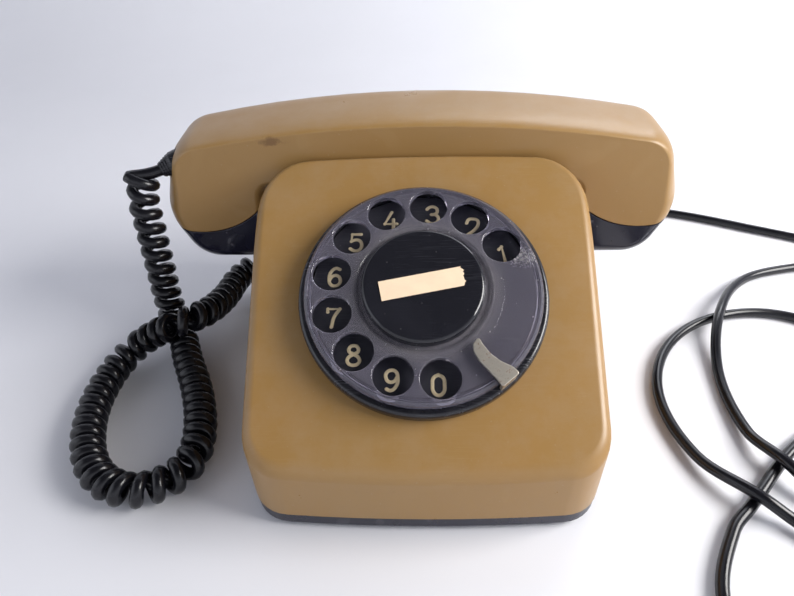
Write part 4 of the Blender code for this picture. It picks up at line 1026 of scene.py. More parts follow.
class TELEPHONE_OT_line_cord(Operator):
    """Add the line cord, its stored coil, the tie and the plug"""

    bl_idname = "telephone.line_cord"
    bl_label = "Line Cord"

    def execute(self, context):
        cords = context.scene.telephone_cords
        plug = self.plug()
        tie = self.tie(cords)
        knots = [Vector(point) * MM for point in LINE_ROUTE]
        knots += self.coil_knots(cords)
        curve = bpy.data.curves.new("line_cord_lead", "CURVE")
        curve.dimensions = "3D"
        curve.bevel_depth = cords.line / 2
        curve.bevel_resolution = 4
        curve.use_fill_caps = True
        curve.resolution_u = 8
        spline = curve.splines.new("BEZIER")
        spline.bezier_points.add(len(knots) - 1)
        for i, knot in enumerate(spline.bezier_points):
            before = (knots[i] - knots[max(i - 1, 0)]).length / 3
            after = (knots[min(i + 1, len(knots) - 1)] - knots[i]).length / 3
            knot.handle_left_type = knot.handle_right_type = "FREE"
            knot.co = knots[i]
            knot.handle_left = knots[i] - heading(knots, i) * before
            knot.handle_right = knots[i] + heading(knots, i) * after
        curve.materials.append(cord_sheath("line_black", 0.16))
        made = bpy.data.objects.new("line_cord_lead", curve)
        context.scene.collection.objects.link(made)
        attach(made, "base")
        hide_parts("line_cord", "line_cord_coil")
        length = sum(self.stretch(spline, i) for i in range(len(knots) - 1))
        return {"FINISHED"}

    def stretch(self, spline, i):
        first, last = spline.bezier_points[i], spline.bezier_points[i + 1]
        points = interpolate_bezier(first.co, first.handle_right, last.handle_left, last.co, 12)
        return sum((b - a).length for a, b in zip(points, points[1:]))

    def coil_knots(self, cords):
        """Turns wound inwards on the lower layer and outwards on the upper one, then the lift."""
        step = cords.line
        radii = [COIL_MIDDLE + step * (row - (cords.rows - 1) / 2) for row in range(cords.rows)]
        order = []
        for layer in range(cords.layers):
            rows = reversed(radii) if layer % 2 == 0 else radii
            order += [(radius, step * (0.55 + layer)) for radius in rows]
        per_turn = 14
        total = per_turn * len(order)
        start = math.radians(-66)
        knots = []
        for i in range(total - 2):
            at = i / per_turn
            turn = int(at)
            ease = min(max((at - turn - 0.72) / 0.28, 0), 1)
            ease = ease * ease * (3 - 2 * ease)
            here = order[turn]
            after = order[min(turn + 1, len(order) - 1)]
            radius = here[0] + (after[0] - here[0]) * ease
            height = here[1] + (after[1] - here[1]) * ease
            angle = start + math.tau * at
            knots.append(COIL_PLACE + Vector((radius * math.cos(angle), radius * math.sin(angle),
                                              height)))
        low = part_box("line_plug")[0].z
        rise = [(244, -82.5, 8.2), (253.5, -77, 10.4), (255.6, -68, 13), (250, -60.5, 15.6),
                (243, -58.2, 17.2), (236.2, -58, low / MM + 6.5)]
        return knots[:-1] + [Vector(point) * MM for point in rise]

    def tie(self, cords):
        """Rubber strap round the turns, with a beaded end."""
        low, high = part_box("coil_tie")
        y = (high.y - low.y) / 2
        shape = block((low.x - COIL_PLACE.x, -y, low.z), (high.x - COIL_PLACE.x, y, high.z),
                      0.6 * MM, 3)
        made = solid("coil_strap", shape)
        inner = COIL_MIDDLE - cords.rows * cords.line / 2 - 1.2 * MM
        joined(made, block((inner, -0.02, -0.01),
                           (COIL_MIDDLE + cords.rows * cords.line / 2 + 0.5 * MM, 0.02,
                            high.z - 1.2 * MM)))
        for side in (-1, 1):
            bead = moved(rod(0.7 * MM, -3.2 * MM, 3.2 * MM, 16),
                         pointed((0, 1, 0), (high.x - COIL_PLACE.x, 0, high.z / 2 + side * 2 * MM)))
            joined(made, bead, "UNION")
        made.data.transform(Matrix.Translation(COIL_PLACE))
        return finished(made, slot_materials()["foot_rubber"], "base",
                        ["coil_tie"])

    def plug(self):
        """Moulded plug with a ribbed grip and two rounded pins."""
        low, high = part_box("line_plug")
        back = low.x + 12.3 * MM
        centre = Vector(((back + high.x) / 2, COIL_PLACE.y, (low.z + high.z) / 2))
        half = Vector(((high.x - back) / 2, (high.y - low.y) / 2, (high.z - low.z) / 2))
        shape = block(centre - half, centre + half, 2.2 * MM, 4)
        made = solid("line_plug_body", shape)
        for i in range(4):
            x = centre.x + (1 + 2.6 * i) * MM
            for side in (-1, 1):
                groove = block((x - 0.6 * MM, centre.y + side * half.y - 0.6 * MM, low.z - MM),
                               (x + 0.6 * MM, centre.y + side * half.y + 0.6 * MM, high.z + MM))
                joined(made, groove)
        finished(made, slot_materials()["black_plastic"], "base", ["line_plug"])
        for name, side in (("plug_pin_front", -1), ("plug_pin_rear", 1)):
            spot = Vector((back + 1.5 * MM, centre.y + side * 5 * MM, centre.z))
            reach = spot.x - low.x
            profile = [(0, 0), (1.8 * MM, 0), (1.8 * MM, reach - 1.2 * MM),
                       (1.3 * MM, reach - 0.4 * MM), (0, reach)]
            pin = solid(name, moved(spun(profile, 24), pointed((-1, 0, 0), spot)))
            finished(pin, slot_materials()["brass"], "base")
            pin.parent = made
        relief = [(0, 0), (3.4 * MM, 0), (3.4 * MM, 1.2 * MM), (2.9 * MM, 1.6 * MM),
                  (3.1 * MM, 2.6 * MM), (2.7 * MM, 3.2 * MM), (2.8 * MM, 4.4 * MM),
                  (2.5 * MM, 5 * MM), (0, 5 * MM)]
        boss = solid("plug_relief", moved(spun(relief, 24), pointed(
            (1, 0, 0), (high.x - 0.4 * MM, centre.y, centre.z))))
        finished(boss, slot_materials()["black_plastic"], "base")
        boss.parent = made
        return made


class TELEPHONE_OT_glands(Operator):
    """Add the three strain reliefs with their ribs"""

    bl_idname = "telephone.glands"
    bl_label = "Strain Reliefs"

    def execute(self, context):
        black = slot_materials()["black_plastic"]
        root, tip = gland_line()
        length = (tip - root).length
        profile = [(0, 0), (5 * MM, 0), (5 * MM, 0.45 * length), (4.7 * MM, 0.5 * length)]
        for i in range(4):
            share = 0.56 + 0.11 * i
            wide = 4.6 - 0.42 * i
            profile += [(wide * MM, share * length), ((wide - 0.1) * MM, (share + 0.05) * length),
                        ((wide - 0.6) * MM, (share + 0.07) * length),
                        ((wide - 0.6) * MM, (share + 0.09) * length)]
        profile += [(3 * MM, 0.985 * length), (2.8 * MM, length), (0, length)]
        made = solid("handset_relief", moved(spun(profile, 40), pointed(tip - root, root)))
        finished(made, black, "handset", ["handset_gland"])
        for name, spot, way, sizes, node_name in (
                ("base_relief", BASE_GLAND, (-1, 0, 0), (3.5, 5.6, 3.6, 3.1, 6.8),
                 "base_cord_gland"),
                ("line_relief", LINE_GLAND, (0, 1, 0), (2.8, 4.6, 3.0, 2.45, 6.5),
                 "line_cord_gland")):
            neck, flange, wide, slim, long = (value * MM for value in sizes)
            first = GAP if name == "base_relief" else 0.7 * MM
            profile = [(0, -5 * MM), (neck, -5 * MM), (neck, first), (flange - 0.3 * MM, first),
                       (flange, first + 0.3 * MM), (flange, 1.9 * MM),
                       (flange - 0.4 * MM, 2.3 * MM), (wide, 2.6 * MM)]
            for i in range(3):
                at = 3.2 * MM + i * (long - 3.6 * MM) / 3
                size = wide + (slim - wide) * i / 3
                profile += [(size, at), (size, at + 0.55 * MM), (size - 0.5 * MM, at + 0.7 * MM),
                            (size - 0.5 * MM, at + 0.95 * MM)]
            profile += [(slim, long - 0.2 * MM), (slim - 0.3 * MM, long), (0, long)]
            made = solid(name, moved(spun(profile, 32), pointed(way, spot)))
            finished(made, black, "base", [node_name])
        return {"FINISHED"}


# ------------------------------------------------------------------ body

def face_outline(settings):
    """Plan of the raised block that carries the dial."""
    front = -settings.depth / 2
    half, nose = settings.width / 2, settings.nose / 2
    return rounded([(-nose, front + SIDE_BOW, NOSE_CORNER), (0, front - MM, None),
                    (nose, front + SIDE_BOW, NOSE_CORNER), (half, 0, None),
                    (half - 0.6 * MM, FACE_STEP - 1.8 * MM, STEP_CORNER),
                    (0, FACE_STEP + 0.8 * MM, None),
                    (-half + 0.6 * MM, FACE_STEP - 1.8 * MM, STEP_CORNER), (-half, 0, None)])


def cradle_outline(settings, front):
    """Plan of the lower block behind the face, from a given front edge."""
    back = settings.depth / 2
    return rounded([(-CRADLE_HALF, front, MM), (CRADLE_HALF, front, MM),
                    (CRADLE_HALF, back - SIDE_BOW, REAR_CORNER), (0, back + 0.9 * MM, None),
                    (-CRADLE_HALF, back - SIDE_BOW, REAR_CORNER)])


def face_block(settings, inset, bottom, edge_round, steps):
    """Raised block cut off along the sloping face, with its upper edge rounded."""
    shape = prism(shrunk(face_outline(settings), inset), bottom, 0.11)
    normal = on_face().to_3x3() @ Vector((0, 0, 1))
    cut = bmesh.ops.bisect_plane(shape, geom=shape.verts[:] + shape.edges[:] + shape.faces[:],
                                 plane_co=DIAL_CENTRE - normal * inset, plane_no=normal,
                                 clear_outer=True)
    rim = [item for item in cut["geom_cut"] if isinstance(item, bmesh.types.BMEdge)]
    face = bmesh.ops.contextual_create(shape, geom=rim)["faces"][0]
    bevelled(shape, face.edges[:], edge_round, steps)
    return shape


class TELEPHONE_OT_housing(Operator):
    """Add the moulded housing with its sloping face, cradle and ridge"""

    bl_idname = "telephone.housing"
    bl_label = "Housing"

    def execute(self, context):
        settings = context.scene.telephone_body
        under = SKIRT - 3 * MM
        made = solid("housing_moulding",
                     face_block(settings, 0, under, settings.face_edge, 7))
        cradle = solid("cradle", prism(cradle_outline(settings, 5 * MM), under, RIDGE_TOP))
        joined(cradle, block((-0.1, -0.05, CRADLE_FLOOR), (0.1, RIDGE_FRONT, 0.1)))
        soften(cradle, 2 * MM, 4, lambda spot: spot.z > CRADLE_FLOOR - MM and spot.y > 6 * MM)
        ridge = bmesh.new()
        ridge.from_mesh(cradle.data)
        bpy.data.objects.remove(cradle, do_unlink=True)
        joined(made, ridge, "UNION")
        for side in (-1, 1):
            low, high = sorted(side * x for x in RIB)
            rib = block((low, 33 * MM, CRADLE_FLOOR - MM), (high, 69 * MM, HAND_GRIP - GAP),
                        MM, 4)
            joined(made, rib, "UNION")
        joined(made, face_block(settings, settings.wall, under - 5 * MM, 2 * MM, 3))
        joined(made, prism(shrunk(cradle_outline(settings, 0), settings.wall),
                           under - 6 * MM, CRADLE_FLOOR - settings.wall))
        joined(made, block((-0.1, -0.1, -0.02), (0.1, 0.1, SKIRT)))
        joined(made, moved(rod(37.5 * MM, -8 * MM, 8 * MM, 96), on_face()))
        for side in ("left", "right"):
            low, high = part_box("plunger_" + side)
            hole = rod((high.x - low.x) / 2 + GAP, CRADLE_FLOOR - 8 * MM, CRADLE_FLOOR + MM, 40)
            joined(made, moved(hole, Matrix.Translation(((low.x + high.x) / 2,
                                                         (low.y + high.y) / 2, 0))))
        for spot, way, size in ((BASE_GLAND, (1, 0, 0), 3.9), (LINE_GLAND, (0, 1, 0), 3.2)):
            joined(made, moved(rod(size * MM, -6 * MM, 6 * MM, 32), pointed(way, spot)))
        stains_and_shade = [
            # Painted shade: a dark patch on the cradle floor in the hollow under the handset grip,
            # where shadow falls. The three after it are brown marks along the front ridge.
            ((-39 * MM, 44 * MM, 60 * MM), (7 * MM, 14 * MM, 10 * MM), rgba((0.10, 0.05, 0.02)),
             0.55, 300.0),
            ((-30 * MM, -79.5 * MM, 33 * MM), (4.5 * MM, 3 * MM, 1.5 * MM),
             rgba((0.13, 0.06, 0.03)), 0.85, 900.0),
            ((-17.5 * MM, -79.8 * MM, 33 * MM), (2.5 * MM, 3 * MM, 1.1 * MM),
             rgba((0.13, 0.06, 0.03)), 0.85, 900.0),
            ((-9 * MM, -80 * MM, 33 * MM), (4 * MM, 3 * MM, 1.1 * MM),
             rgba((0.13, 0.06, 0.03)), 0.8, 1200.0),
        ]
        finished(made, khaki_moulding("housing_khaki", stains_and_shade), "base",
                 ["housing"])
        return {"FINISHED"}


class TELEPHONE_OT_base(Operator):
    """Add the base plate, the feet and the screws"""

    bl_idname = "telephone.base"
    bl_label = "Base"

    def execute(self, context):
        settings = context.scene.telephone_body
        low, high = PLATE
        half, nose, back = settings.width / 2, settings.nose / 2, settings.depth / 2
        outline = rounded([(-nose, SIDE_BOW - back, NOSE_CORNER), (0, -back - MM, None),
                           (nose, SIDE_BOW - back, NOSE_CORNER), (half, 0, None),
                           (CRADLE_HALF, 45 * MM, 0.4),
                           (CRADLE_HALF, back - SIDE_BOW, REAR_CORNER),
                           (0, back + 0.9 * MM, None),
                           (-CRADLE_HALF, back - SIDE_BOW, REAR_CORNER),
                           (-CRADLE_HALF, 45 * MM, 0.4), (-half, 0, None)])
        made = solid("base_tray", prism(shrunk(outline, 0.3 * MM), low.z, high.z))
        soften(made, 0.9 * MM, 4, lambda spot: True)
        joined(made, prism(shrunk(outline, 3.4 * MM), low.z + 2 * MM, high.z + MM))
        for x, y in SCREW_PLACES:
            joined(made, moved(rod(4.6 * MM, low.z + MM, high.z - MM, 32),
                               Matrix.Translation((x, y, 0))), "UNION")
            seat = spun([(0, -MM), (3.9 * MM, -MM), (3.5 * MM, low.z + 1.6 * MM),
                         (1.8 * MM, low.z + 1.6 * MM), (1.8 * MM, high.z + MM),
                         (0, high.z + MM)], 32)
            joined(made, moved(seat, Matrix.Translation((x, y, 0))))
        finished(made, black_moulding("base_black", 0.35, 0.4, (0.24, 0.4), 0.6, 1.6), "base",
                 ["base_plate"])
        for label, x, y in (("front_left", -44, -62), ("front_right", 44, -62),
                            ("rear_left", -44, 58), ("rear_right", 44, 58)):
            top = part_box("foot_" + label)[1].z
            foot = spun([(0, 0), (4 * MM, 0), (4.6 * MM, 0.3 * MM), (5.2 * MM, 0), (6 * MM, 0),
                         (6.8 * MM, 0.4 * MM), (7 * MM, top), (0, top)], 48)
            piece = solid("foot_pad_" + label, moved(foot, Matrix.Translation(
                (x * MM, y * MM, 0))))
            finished(piece, slot_materials()["foot_rubber"], "base",
                     ["foot_" + label])
        for i, (x, y) in enumerate(SCREW_PLACES):
            head = low.z + 0.2 * MM
            shape = spun([(0, head), (2.7 * MM, head), (3.1 * MM, head + 0.4 * MM),
                          (3.1 * MM, head + 1.1 * MM), (1.5 * MM, head + 1.1 * MM),
                          (1.5 * MM, 16 * MM), (0, 16 * MM)], 40)
            screw = solid(f"screw_{i + 1}", shape)
            joined(screw, block((-0.4 * MM, -4 * MM, 0), (0.4 * MM, 4 * MM, head + 0.5 * MM)))
            screw.data.transform(Matrix.Translation((x, y, 0)) @ Matrix.Rotation(i * 1.3, 4, "Z"))
            finished(screw, slot_materials()["plated_steel"], "base",
                     [f"base_screw_{i + 1}"])
        return {"FINISHED"}


# ------------------------------------------------------------------ dial

STROKES = {
    "1": [[(-0.55, 0.62, 0), (-0.18, 0.95, 0), (0.22, -1, 0)]],
    "2": [[(-0.78, 0.5, 0), (-0.5, 0.92, 1), (0.1, 1.0, 1), (0.66, 0.82, 1), (0.74, 0.35, 1),
           (0.3, -0.25, 1), (-0.8, -0.96, 0), (0.8, -0.96, 0)]],
    "3": [[(-0.72, 0.72, 0), (-0.3, 1.0, 1), (0.35, 0.96, 1), (0.66, 0.55, 1), (0.4, 0.15, 1),
           (-0.15, 0.06, 0), (0.45, 0.0, 1), (0.78, -0.45, 1), (0.45, -0.92, 1),
           (-0.2, -1.0, 1), (-0.8, -0.7, 0)]],
    "4": [[(0.1, 1, 0), (-0.8, -0.42, 0), (0.8, -0.42, 0)], [(0.34, 0.12, 0), (0.34, -1, 0)]],
    "5": [[(0.66, 0.96, 0), (-0.5, 0.96, 0), (-0.62, 0.12, 0), (-0.1, 0.3, 1), (0.5, 0.18, 1),
           (0.76, -0.32, 1), (0.5, -0.86, 1), (-0.1, -1.0, 1), (-0.74, -0.74, 0)]],
    "6": [[(0.6, 0.86, 0), (0.1, 1.0, 1), (-0.5, 0.62, 1), (-0.74, -0.2, 1), (-0.5, -0.85, 1),
           (0.05, -1.0, 1), (0.6, -0.75, 1), (0.68, -0.25, 1), (0.3, 0.15, 1),
           (-0.3, 0.1, 1), (-0.7, -0.35, 1)]],
    "7": [[(-0.76, 0.62, 0), (-0.76, 0.94, 0), (0.76, 0.94, 0), (0.1, 0.1, 1),
           (-0.22, -1, 0)]],
    "8": [[(0, 0.12, 1), (-0.56, 0.42, 1), (-0.4, 0.9, 1), (0, 1.0, 1), (0.4, 0.9, 1),
           (0.56, 0.42, 1), (0, 0.12, 1), (-0.6, -0.2, 1), (-0.72, -0.66, 1), (0, -1, 1),
           (0.72, -0.66, 1), (0.6, -0.2, 1), (0, 0.12, 1)]],
    "9": [[(-0.6, -0.86, 0), (-0.1, -1.0, 1), (0.5, -0.62, 1), (0.74, 0.2, 1), (0.5, 0.85, 1),
           (-0.05, 1.0, 1), (-0.6, 0.75, 1), (-0.68, 0.25, 1), (-0.3, -0.15, 1),
           (0.3, -0.1, 1), (0.7, 0.35, 1)]],
    "0": [[(0, 1, 1), (0.56, 0.72, 1), (0.72, 0, 1), (0.56, -0.72, 1), (0, -1, 1),
           (-0.56, -0.72, 1), (-0.72, 0, 1), (-0.56, 0.72, 1), (0, 1, 1)]],
}


class TELEPHONE_OT_dial_fixed(Operator):
    """Add the bezel, the number plate with its digits and the finger stop"""

    bl_idname = "telephone.dial_fixed"
    bl_label = "Dial Surround"

    def execute(self, context):
        dial = context.scene.telephone_dial
        outer, inner, top = BEZEL_OUTER, BEZEL_INNER, BEZEL_TOP
        profile = [(inner, GAP), (outer, GAP), (outer, top - 2.0 * MM),
                   (outer - 0.15 * MM, top - 1.2 * MM), (outer - 0.5 * MM, top - 0.5 * MM),
                   (outer - MM, top - 0.15 * MM), (outer - 1.6 * MM, top),
                   (inner + 0.9 * MM, top), (inner + 0.3 * MM, top - 0.25 * MM),
                   (inner, top - 0.9 * MM)]
        made = solid("dial_rim", moved(spun(profile, 160), on_face()))
        finished(made, black_moulding("rim_black", 0.25, 0.8, (0.10, 0.22), 0.5), "base",
                 ["dial_bezel"])
        level = NUMBER_LEVEL
        shaft = 3.5 * MM
        disc = [(shaft, level - 1.2 * MM), (inner - GAP, level - 1.2 * MM),
                (inner - GAP, level - 0.25 * MM), (inner - 0.6 * MM, level),
                (24.2 * MM, level), (24.0 * MM, level - 0.2 * MM), (23.6 * MM, level - 0.2 * MM),
                (23.4 * MM, level), (shaft, level)]
        made = solid("digit_plate", moved(spun(disc, 128), on_face()))
        finished(made, black_moulding("plate_black", 0.2, 0.6, (0.3, 0.45), 0.2, 1.2), "base",
                 ["number_plate"])
        for i in range(10):
            self.digit(dial, str((i + 1) % 10),
                       dial.first_hole + i * HOLE_PITCH - math.radians(2), level, made)
        self.stop()
        return {"FINISHED"}

    def digit(self, dial, text, angle, level, plate):
        """Round-ended strokes of one digit, upright on the face."""
        spot = Vector((dial.digit_circle * math.cos(angle) + 0.4 * MM,
                       dial.digit_circle * math.sin(angle) - 0.6 * MM, level))
        curve = bpy.data.curves.new("digit", "CURVE")
        curve.dimensions = "3D"
        curve.bevel_depth = dial.stroke / 2
        curve.bevel_resolution = 3
        curve.resolution_u = 10
        size = Vector((dial.digit_height * 0.34, dial.digit_height / 2 - dial.stroke / 2, 0))
        ends = []
        for stroke in STROKES[text]:
            spline = curve.splines.new("BEZIER")
            spline.bezier_points.add(len(stroke) - 1)
            for knot, (x, y, bent) in zip(spline.bezier_points, stroke):
                knot.handle_left_type = knot.handle_right_type = "AUTO" if bent else "VECTOR"
                knot.co = (x * size.x, y * size.y, 0)
            ends += [stroke[0], stroke[-1]] + [knot for knot in stroke[1:-1] if not knot[2]]
        drawn = bpy.data.objects.new("digit", curve)
        bpy.context.scene.collection.objects.link(drawn)
        bpy.context.view_layer.update()
        mesh = bpy.data.meshes.new_from_object(
            drawn.evaluated_get(bpy.context.evaluated_depsgraph_get()))
        bpy.data.objects.remove(drawn, do_unlink=True)
        shape = bmesh.new()
        shape.from_mesh(mesh)
        bpy.data.meshes.remove(mesh)
        for x, y, _ in ends:
            bmesh.ops.create_icosphere(shape, subdivisions=3, radius=dial.stroke / 2,
                                       matrix=Matrix.Translation((x * size.x, y * size.y, 0)))
        bmesh.ops.scale(shape, verts=shape.verts, vec=(1, 1, 0.2))
        moved(shape, on_face() @ Matrix.Translation(spot))
        made = solid("digit_" + text, shape)
        ink = bpy.data.materials.get("digit_ink") or print_ink()
        made.data.materials.append(ink)
        made.data.shade_smooth()
        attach(made, "base")
        made.parent = plate

    def stop(self):
        """Pressed steel hook that leans over the wheel."""
        turn = math.radians(-50.5)
        low, high = 9.9 * MM, 11.2 * MM
        outline = rounded([(x * MM, y * MM, r * MM) for x, y, r in (
            (41.9, -3.6, 0.8), (41.9, 3.6, 0.8), (38.8, 3.2, 3), (35.3, 1.6, 5),
            (31.5, 0.9, 6), (27.8, 1.1, 4), (25, 1.7, 0.7), (25.7, -1.2, 0.9),
            (27.7, -2.7, 2.5), (31.3, -3.4, 6), (35.7, -3.3, 6), (39.3, -3.2, 4))], 6,
            0.1 * MM)
        blade = prism(outline, low, high)
        rim = [edge for edge in blade.edges if edge.calc_face_angle(0) > math.radians(60)]
        bevelled(blade, rim, 0.28 * MM, 3)
        made = solid("stop_hook", blade)
        leg = block((40.6 * MM, -3.1 * MM, 5.0 * MM), (41.8 * MM, 3.1 * MM, high - 0.5 * MM),
                    0.25 * MM, 2)
        joined(made, leg, "UNION")
        made.data.transform(on_face() @ Matrix.Rotation(turn, 4, "Z"))
        finished(made, worn_metal("stop_steel", (0.50, 0.46, 0.40), 0.75, 0.85, (0.38, 0.6)),
                 "base", ["finger_stop"])


class TELEPHONE_OT_finger_wheel(Operator):
    """Add the clear wheel with its rings, grooves and ten finger holes"""

    bl_idname = "telephone.finger_wheel"
    bl_label = "Finger Wheel"

    def execute(self, context):
        dial = context.scene.telephone_dial
        edge = dial.wheel_radius
        top, low, skirt = WHEEL_TOP, WHEEL_LOW, WHEEL_SKIRT
        shaft = 3.8 * MM
        profile = [(shaft, 5 * MM), (7 * MM, 5 * MM), (7 * MM, low - 0.2 * MM),
                   (22 * MM, low - 0.2 * MM), (23 * MM, low), (37.5 * MM, low),
                   (38.2 * MM, skirt + 0.1 * MM), (edge - 0.3 * MM, skirt),
                   (edge, skirt + 0.3 * MM), (edge, top - 1.3 * MM)]
        profile += self.grooves(edge, top)
        profile += [(27.2 * MM, top), (26.9 * MM, top - 0.12 * MM), (26.6 * MM, top),
                    (24.0 * MM, top), (23.7 * MM, top + 0.25 * MM), (23.1 * MM, top + 0.25 * MM),
                    (22.8 * MM, top), (22.2 * MM, top - 0.2 * MM), (21.6 * MM, top - 0.8 * MM),
                    (shaft, top - 0.8 * MM)]
        made = solid("clear_finger_wheel", spun(profile, 192))
        for i in range(10):
            angle = dial.first_hole + i * HOLE_PITCH
            spot = Matrix.Translation((dial.hole_circle * math.cos(angle),
                                       dial.hole_circle * math.sin(angle), 0))
            cutter = spun([(0, low - 2 * MM), (dial.hole_radius + MM, low - 2 * MM),
                           (dial.hole_radius + 0.35 * MM, low),
                           (dial.hole_radius, low + 0.35 * MM),
                           (dial.hole_radius, top - 0.5 * MM),
                           (dial.hole_radius + 0.12 * MM, top - 0.2 * MM),
                           (dial.hole_radius + 0.45 * MM, top),
                           (dial.hole_radius + MM, top + 2 * MM), (0, top + 2 * MM)], 72)
            joined(made, moved(cutter, spot))
        made.data.transform(on_face())
        finished(made, slot_materials()["clear_plastic"], "dial",
                 ["finger_wheel"], 40)
        return {"FINISHED"}

    def grooves(self, edge, top):
        """Fine concentric rings along the wheel's outer edge."""
        profile = [(edge - 0.3 * MM, top - 0.8 * MM), (edge - 0.9 * MM, top - 0.35 * MM)]
        for i in range(3):
            at = edge - (1.2 + 0.62 * i) * MM
            profile += [(at, top - 0.12 * MM + 0.06 * i * MM), (at - 0.17 * MM, top - 0.32 * MM),
                        (at - 0.34 * MM, top - 0.1 * MM + 0.05 * i * MM)]
        return profile


class TELEPHONE_OT_centre_cap(Operator):
    """Add the glossy centre cap and the torn card on it"""

    bl_idname = "telephone.centre_cap"
    bl_label = "Centre Cap"

    def execute(self, context):
        low, top, radius = 8.0 * MM, CAP_TOP, 20.5 * MM
        edge = 1.6 * MM
        profile = [(0, low), (radius - 0.2 * MM, low), (radius, low + 0.2 * MM),
                   (radius, top - edge)]
        for i in range(1, 9):
            turn = math.pi / 2 * i / 8
            profile.append((radius - edge + edge * math.cos(turn), top - edge
                            + edge * math.sin(turn)))
        profile.append((0, top))
        made = solid("cap_disc", moved(spun(profile, 128), on_face()))
        finished(made, black_moulding("cap_black", 0.02, 0.5, (0.05, 0.12), 0.12), "dial",
                 ["centre_cap"])
        half = Vector((14.35 * MM, 3.5 * MM))
        outline = [Vector((-half.x, -half.y, 0)), Vector((half.x * 0.9, -half.y, 0))]
        for i in range(1, 14):
            share = i / 14
            ragged = noise.noise(Vector((share * 9, 3.3, 1.7))) * 1.1 * MM
            outline.append(Vector((half.x - 0.8 * MM + ragged, -half.y + 2 * half.y * share, 0)))
        outline += [Vector((half.x * 0.93, half.y, 0)), Vector((-half.x, half.y, 0))]
        card = prism(outline, top + 0.02 * MM, top + 0.24 * MM)
        paper = solid("paper_card", moved(card, on_face() @ Matrix.Rotation(math.radians(11), 4,
                                                                            "Z")))
        finished(paper, slot_materials()["label_paper"], "dial", ["label_card"])
        return {"FINISHED"}


# ------------------------------------------------------------------ handset

def hand_outline(half, middle, rear):
    """Long outline of the handset in X and Z, fuller towards its middle."""
    def mix(face, full):
        return face + (full - face) * middle

    shoulder, crown = (74 * MM, 92 * MM) if rear else (86.4 * MM, 103.5 * MM)
    right = [(mix(96 * MM, 99 * MM), mix(shoulder, 88.3 * MM), mix(12, 15) * MM),
             (mix(half - 9 * MM, half + 0.8 * MM), 57 * MM, mix(18, 24) * MM),
             (mix(93 * MM, 98 * MM), mix(41 * MM, HAND_LOW), mix(10, 16) * MM),
             (mix(70 * MM, 64 * MM), mix(41 * MM, HAND_LOW), mix(6, 9) * MM),
             (mix(67 * MM, 62.6 * MM), mix(74 * MM, HAND_GRIP), 7 * MM)]
    left = [(-x, z, r) for x, z, r in reversed(right)]
    return rounded([(0, mix(crown, 106.4 * MM), None)] + right
                   + [(0, mix(74 * MM, HAND_GRIP), 0)] + left, 12, -1)


def hand_solid(half):
    """Handset lofted from its flat front to its flat back."""
    shape = bmesh.new()
    edge = 0.36
    near = [edge * (1 - math.cos(math.pi / 2 * i / 9)) for i in range(10)]
    shares = near + [0.43, 0.57] + [1 - share for share in reversed(near)]
    rings = []
    for share in shares:
        close = min(share, 1 - share)
        fill = 1.0 if close >= edge else math.sqrt(1 - (1 - close / edge) ** 2)
        outline = hand_outline(half, fill, share > 0.5)
        ring = [shape.verts.new((point.x, HAND_FRONT + (HAND_BACK - HAND_FRONT) * share, point.y))
                for point in outline]
        rings.append([shape.edges.new((ring[i - 1], ring[i])) for i in range(len(ring))])
    for first, second in zip(rings, rings[1:]):
        bmesh.ops.bridge_loops(shape, edges=first + second)
    for ring in (rings[0], rings[-1]):
        bmesh.ops.contextual_create(shape, geom=ring)
    moved(shape, Matrix.Translation((HAND_MID, 0, 0)))
    return shape


def bulb(radius, side):
    """Disc along Y whose edge is the curved joint between shell and cap."""
    return moved(rod(radius, -0.04, 0.04, 180),
                 pointed((0, 1, 0), (side * BULB_X + HAND_MID, HAND_Y, BULB_Z)))


